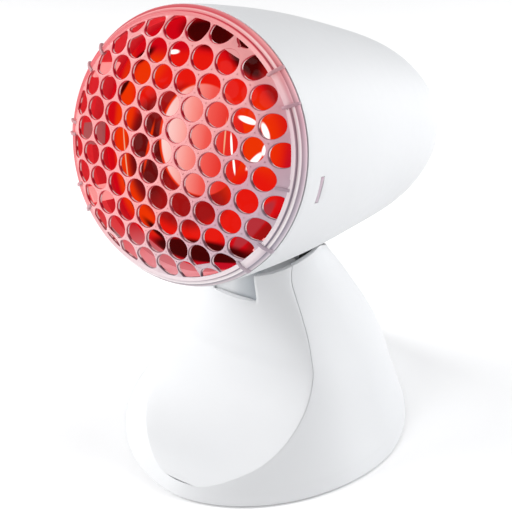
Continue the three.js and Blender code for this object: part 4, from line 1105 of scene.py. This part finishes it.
def frontPanel(material):
    # across each level from one seam to the other, standing forward by a rounded bulge
    halfNotch, notchFloor = panel["notch"]
    share = halfNotch / archHalf(panel["columnsAt"])
    roundOff = panel["notchRound"]
    roundShare = (halfNotch + roundOff) / archHalf(panel["columnsAt"])
    notchEdge, roundEnd = np.arcsin([share, roundShare]) * 2 / np.pi
    onRound, outside, inside = panel["columns"]
    side = np.concatenate([np.linspace(notchEdge, roundEnd, onRound, endpoint=False),
                           np.linspace(roundEnd, 1, outside)])
    t = np.concatenate([-side[::-1], np.linspace(-notchEdge, notchEdge, inside + 2)[1:-1], side])
    u = np.sin(t * np.pi / 2)

    def place(columns, z):
        half = archHalf(z)
        beside = halfNotch + (np.abs(columns) - share) / (1 - share) * (half - halfNotch)
        wide = np.where(np.abs(columns) <= share, columns / share * halfNotch, np.sign(columns) * beside)
        follow = np.clip((z - panel["followFrom"]) / (notchFloor - panel["followFrom"]), 0, 1)
        x = columns * half * (1 - follow) + wide * follow
        across = np.clip(np.abs(x) / half, 0, 1)
        halfWidth, halfDepth, middle = standSection(z)
        power = stand["squareness"]
        edge = middle - halfDepth * (1 - np.clip(half / halfWidth, 0, 1) ** power) ** (1 / power)
        level = (z - panel["foot"]) / (panel["top"] - panel["foot"])
        forward = panel["bulge"] * smoothCurve(panel["forward"], level)
        begun = np.clip((z - notchFloor + panel["roundBelow"]) / panel["roundRun"], 0, 1)
        left = np.clip(1 - (np.abs(x) - halfNotch) / roundOff, 0, 1) * begun
        sunk = roundOff * (1 - np.sqrt(1 - left**2)) * panel["roundDepth"] * (np.abs(x) > halfNotch - 0.01)
        y = edge - forward * (1 - across**2) ** panel["rounding"] + sunk + standMiddle
        return np.stack([x, y, z + 0 * x], -1)

    top = topOf(place, u, notchFloor - panel["searchBelow"], panel["top"])
    heights = np.linspace(panel["foot"], notchFloor, panel["fineSteps"])
    lowZ = evenHeights(archHalf(heights), heights, panel["rows"])[:, None]
    above = np.linspace(0, 1, panel["rowsAbove"] + 1)[1:, None]
    z = np.concatenate([lowZ + 0 * u[None], notchFloor + above * (top - notchFloor)[None]])
    points = place(np.repeat(u[None], len(z), 0), z)
    faces = gridFaces(len(z), len(u))
    keep = np.ones(faces.shape[:2], bool)
    inNotch = np.abs((u[:-1] + u[1:]) / 2) < share
    keep[panel["rows"] - 1:] &= ~inNotch[None]
    piece = newPiece("front_panel_moulding", points, [faces[keep]], merge=0.01)
    thicken(piece, panel["wall"], panel["edge"], segments=3, even=False)
    dress(settle(piece), "stand", material, "white_plastic", "front_panel")


neck = {
    "radius": 22.7,
    "halfWidth": 24.5,
    "shoulder": 6,
    "wall": 1.2,
    "short": 1,
    "low": 200,
    "high": 118,
    "intoHousing": 0.8,
    "columns": 49,
    "rows": 30,
    # painted shade along X: pale as the panel, the head's painted shade, then paler again outside the notch
    "tone": [(0.0, (0.6, 0.61, 0.62)), (0.45, (0.56, 0.57, 0.58)), (0.54, (0.42, 0.44, 0.46)),
             (0.69, (0.28, 0.3, 0.325)), (0.74, (0.5, 0.515, 0.53)), (1.0, (0.75, 0.76, 0.77))],
}


def neckCover():
    # a barrel about the tilt axle: radius = r (1 - |x / halfWidth|^shoulder)^(1/2), from below the
    # panel's notch up into the housing's wall, which closes the notch; behind, the saddle stays open
    x = np.linspace(-1, 1, neck["columns"]) * (neck["halfWidth"] - neck["short"])
    pivotY, pivotZ = headPlace["pivot"]

    def onBarrel(x, angle):
        radius = neck["radius"] * (1 - np.abs(x / neck["halfWidth"]) ** neck["shoulder"]) ** 0.5
        a = np.radians(neck["low"] - angle)
        return np.stack([x, radius * np.cos(a) + pivotY + standMiddle, radius * np.sin(a) + pivotZ], -1)

    def depthInWall(points):
        return depthInHousing(points, 0, -neck["intoHousing"])

    end = topOf(onBarrel, x, 0, neck["low"] - neck["high"], depthInWall)
    turn = np.linspace(0, 1, neck["rows"])[:, None] * end[None]
    points = onBarrel(x[None] + 0 * turn, turn)
    piece = thicken(newPiece("neck_cover", points, [gridFaces(*points.shape[:2])]), neck["wall"])
    # its colour is a grey ramp along X, painted shade under the head
    material, tree, shader, place = blankFinish("neckPlasticPaintedShade", {"Roughness": 0.4})
    along = stretch(tree, axesOf(tree, place)["X"], -neck["halfWidth"] * mm, neck["halfWidth"] * mm)
    tree.links.new(rampOf(tree, along, neck["tone"]), shader.inputs["Base Color"])
    bump(tree, shader, noise(tree, place, 600, 2), 0.02)
    dress(settle(piece), "head", material, "white_plastic")


standShell(finishes["whitePlastic"])
frontPanel(finishes["whitePlastic"])
neckCover()
print("stand, front panel and neck cover made")


# Carried-over CAD nodes get their finishes

# Screws, brackets, springs and whatever isn't named here are steel
nodeFinishes = {
    "nickel": ("bulb_reflector", "filament_post_left", "filament_post_right", "bulb_cap"),
    "ceramic": ("bulb_stem", "socket_body", "terminal_block"),
    "blackGlass": ("bulb_cap_insulator",),
    "brass": ("bulb_tip_contact", "socket_sleeve", "socket_contact"),
    "palePlastic": ("tilt_arm",),
    "greyPlastic": ("stand_plate",),
    "rubber": ("cord_inlet", "foot_front_left", "foot_front_right", "foot_rear_left", "foot_rear_right"),
}
finishOf = {name: finish for finish, names in nodeFinishes.items() for name in names}
for name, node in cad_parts.items():
    if not node.hide_render:
        node.data.materials.clear()
        node.data.materials.append(finishes[finishOf.get(name, "steel")])
print("CAD nodes finished")


# Floor, world and lights

studio = {
    "world": 0.36,
    "floor": (0.88, 0.88, 0.885),
    "floorHalf": 6,
    "aim": (0, 0, 0.1),
    "reach": 1.3,
    "size": 0.6,
    # azimuth from straight ahead towards +X, elevation, power, colour
    "lights": {
        "front": (-15, 30, 5.4, (1, 1, 1)),
        "leftHigh": (-65, 30, 12.2, (1, 1, 1)),
        "leftLow": (-40, 5, 3.2, (1, 1, 1)),
        "rightLow": (105, 5, 5.8, (0.98, 0.99, 1)),
        "rightBack": (130, 30, 8.0, (0.98, 0.99, 1)),
        "backLow": (160, 5, 1.5, (1, 1, 1)),
        "backHigh": (160, 58, 3.9, (1, 1, 1)),
    },
}


def buildStudio():
    scene = bpy.context.scene
    scene.view_settings.view_transform = "Standard"
    world = bpy.data.worlds.new("studio")
    scene.world = world
    world.use_nodes = True
    sky = world.node_tree.nodes["Background"]
    sky.inputs["Color"].default_value = (1, 1, 1, 1)
    sky.inputs["Strength"].default_value = studio["world"]
    mesh = bpy.data.meshes.new("floor")
    half = studio["floorHalf"]
    corners = [(-half, -half, 0), (half, -half, 0), (half, half, 0), (-half, half, 0)]
    mesh.from_pydata(corners, [], [range(len(corners))])
    floor = bpy.data.objects.new("floor", mesh)
    scene.collection.objects.link(floor)
    look = {"Base Color": (*studio["floor"], 1), "Roughness": 0.7, "Specular IOR Level": 0.1}
    mesh.materials.append(blankFinish("floor", look)[0])
    for name, (azimuth, elevation, power, colour) in studio["lights"].items():
        data = bpy.data.lights.new(name, "AREA")
        data.shape = "DISK"
        data.size, data.energy, data.color = studio["size"], power, colour
        lamp = bpy.data.objects.new(name, data)
        scene.collection.objects.link(lamp)
        a, e = np.radians(azimuth), np.radians(elevation)
        way = Vector((np.sin(a) * np.cos(e), -np.cos(a) * np.cos(e), np.sin(e)))
        lamp.location = Vector(studio["aim"]) + way * studio["reach"]
        lamp.rotation_euler = way.to_track_quat("Z", "Y").to_euler()


buildStudio()
print("studio made")
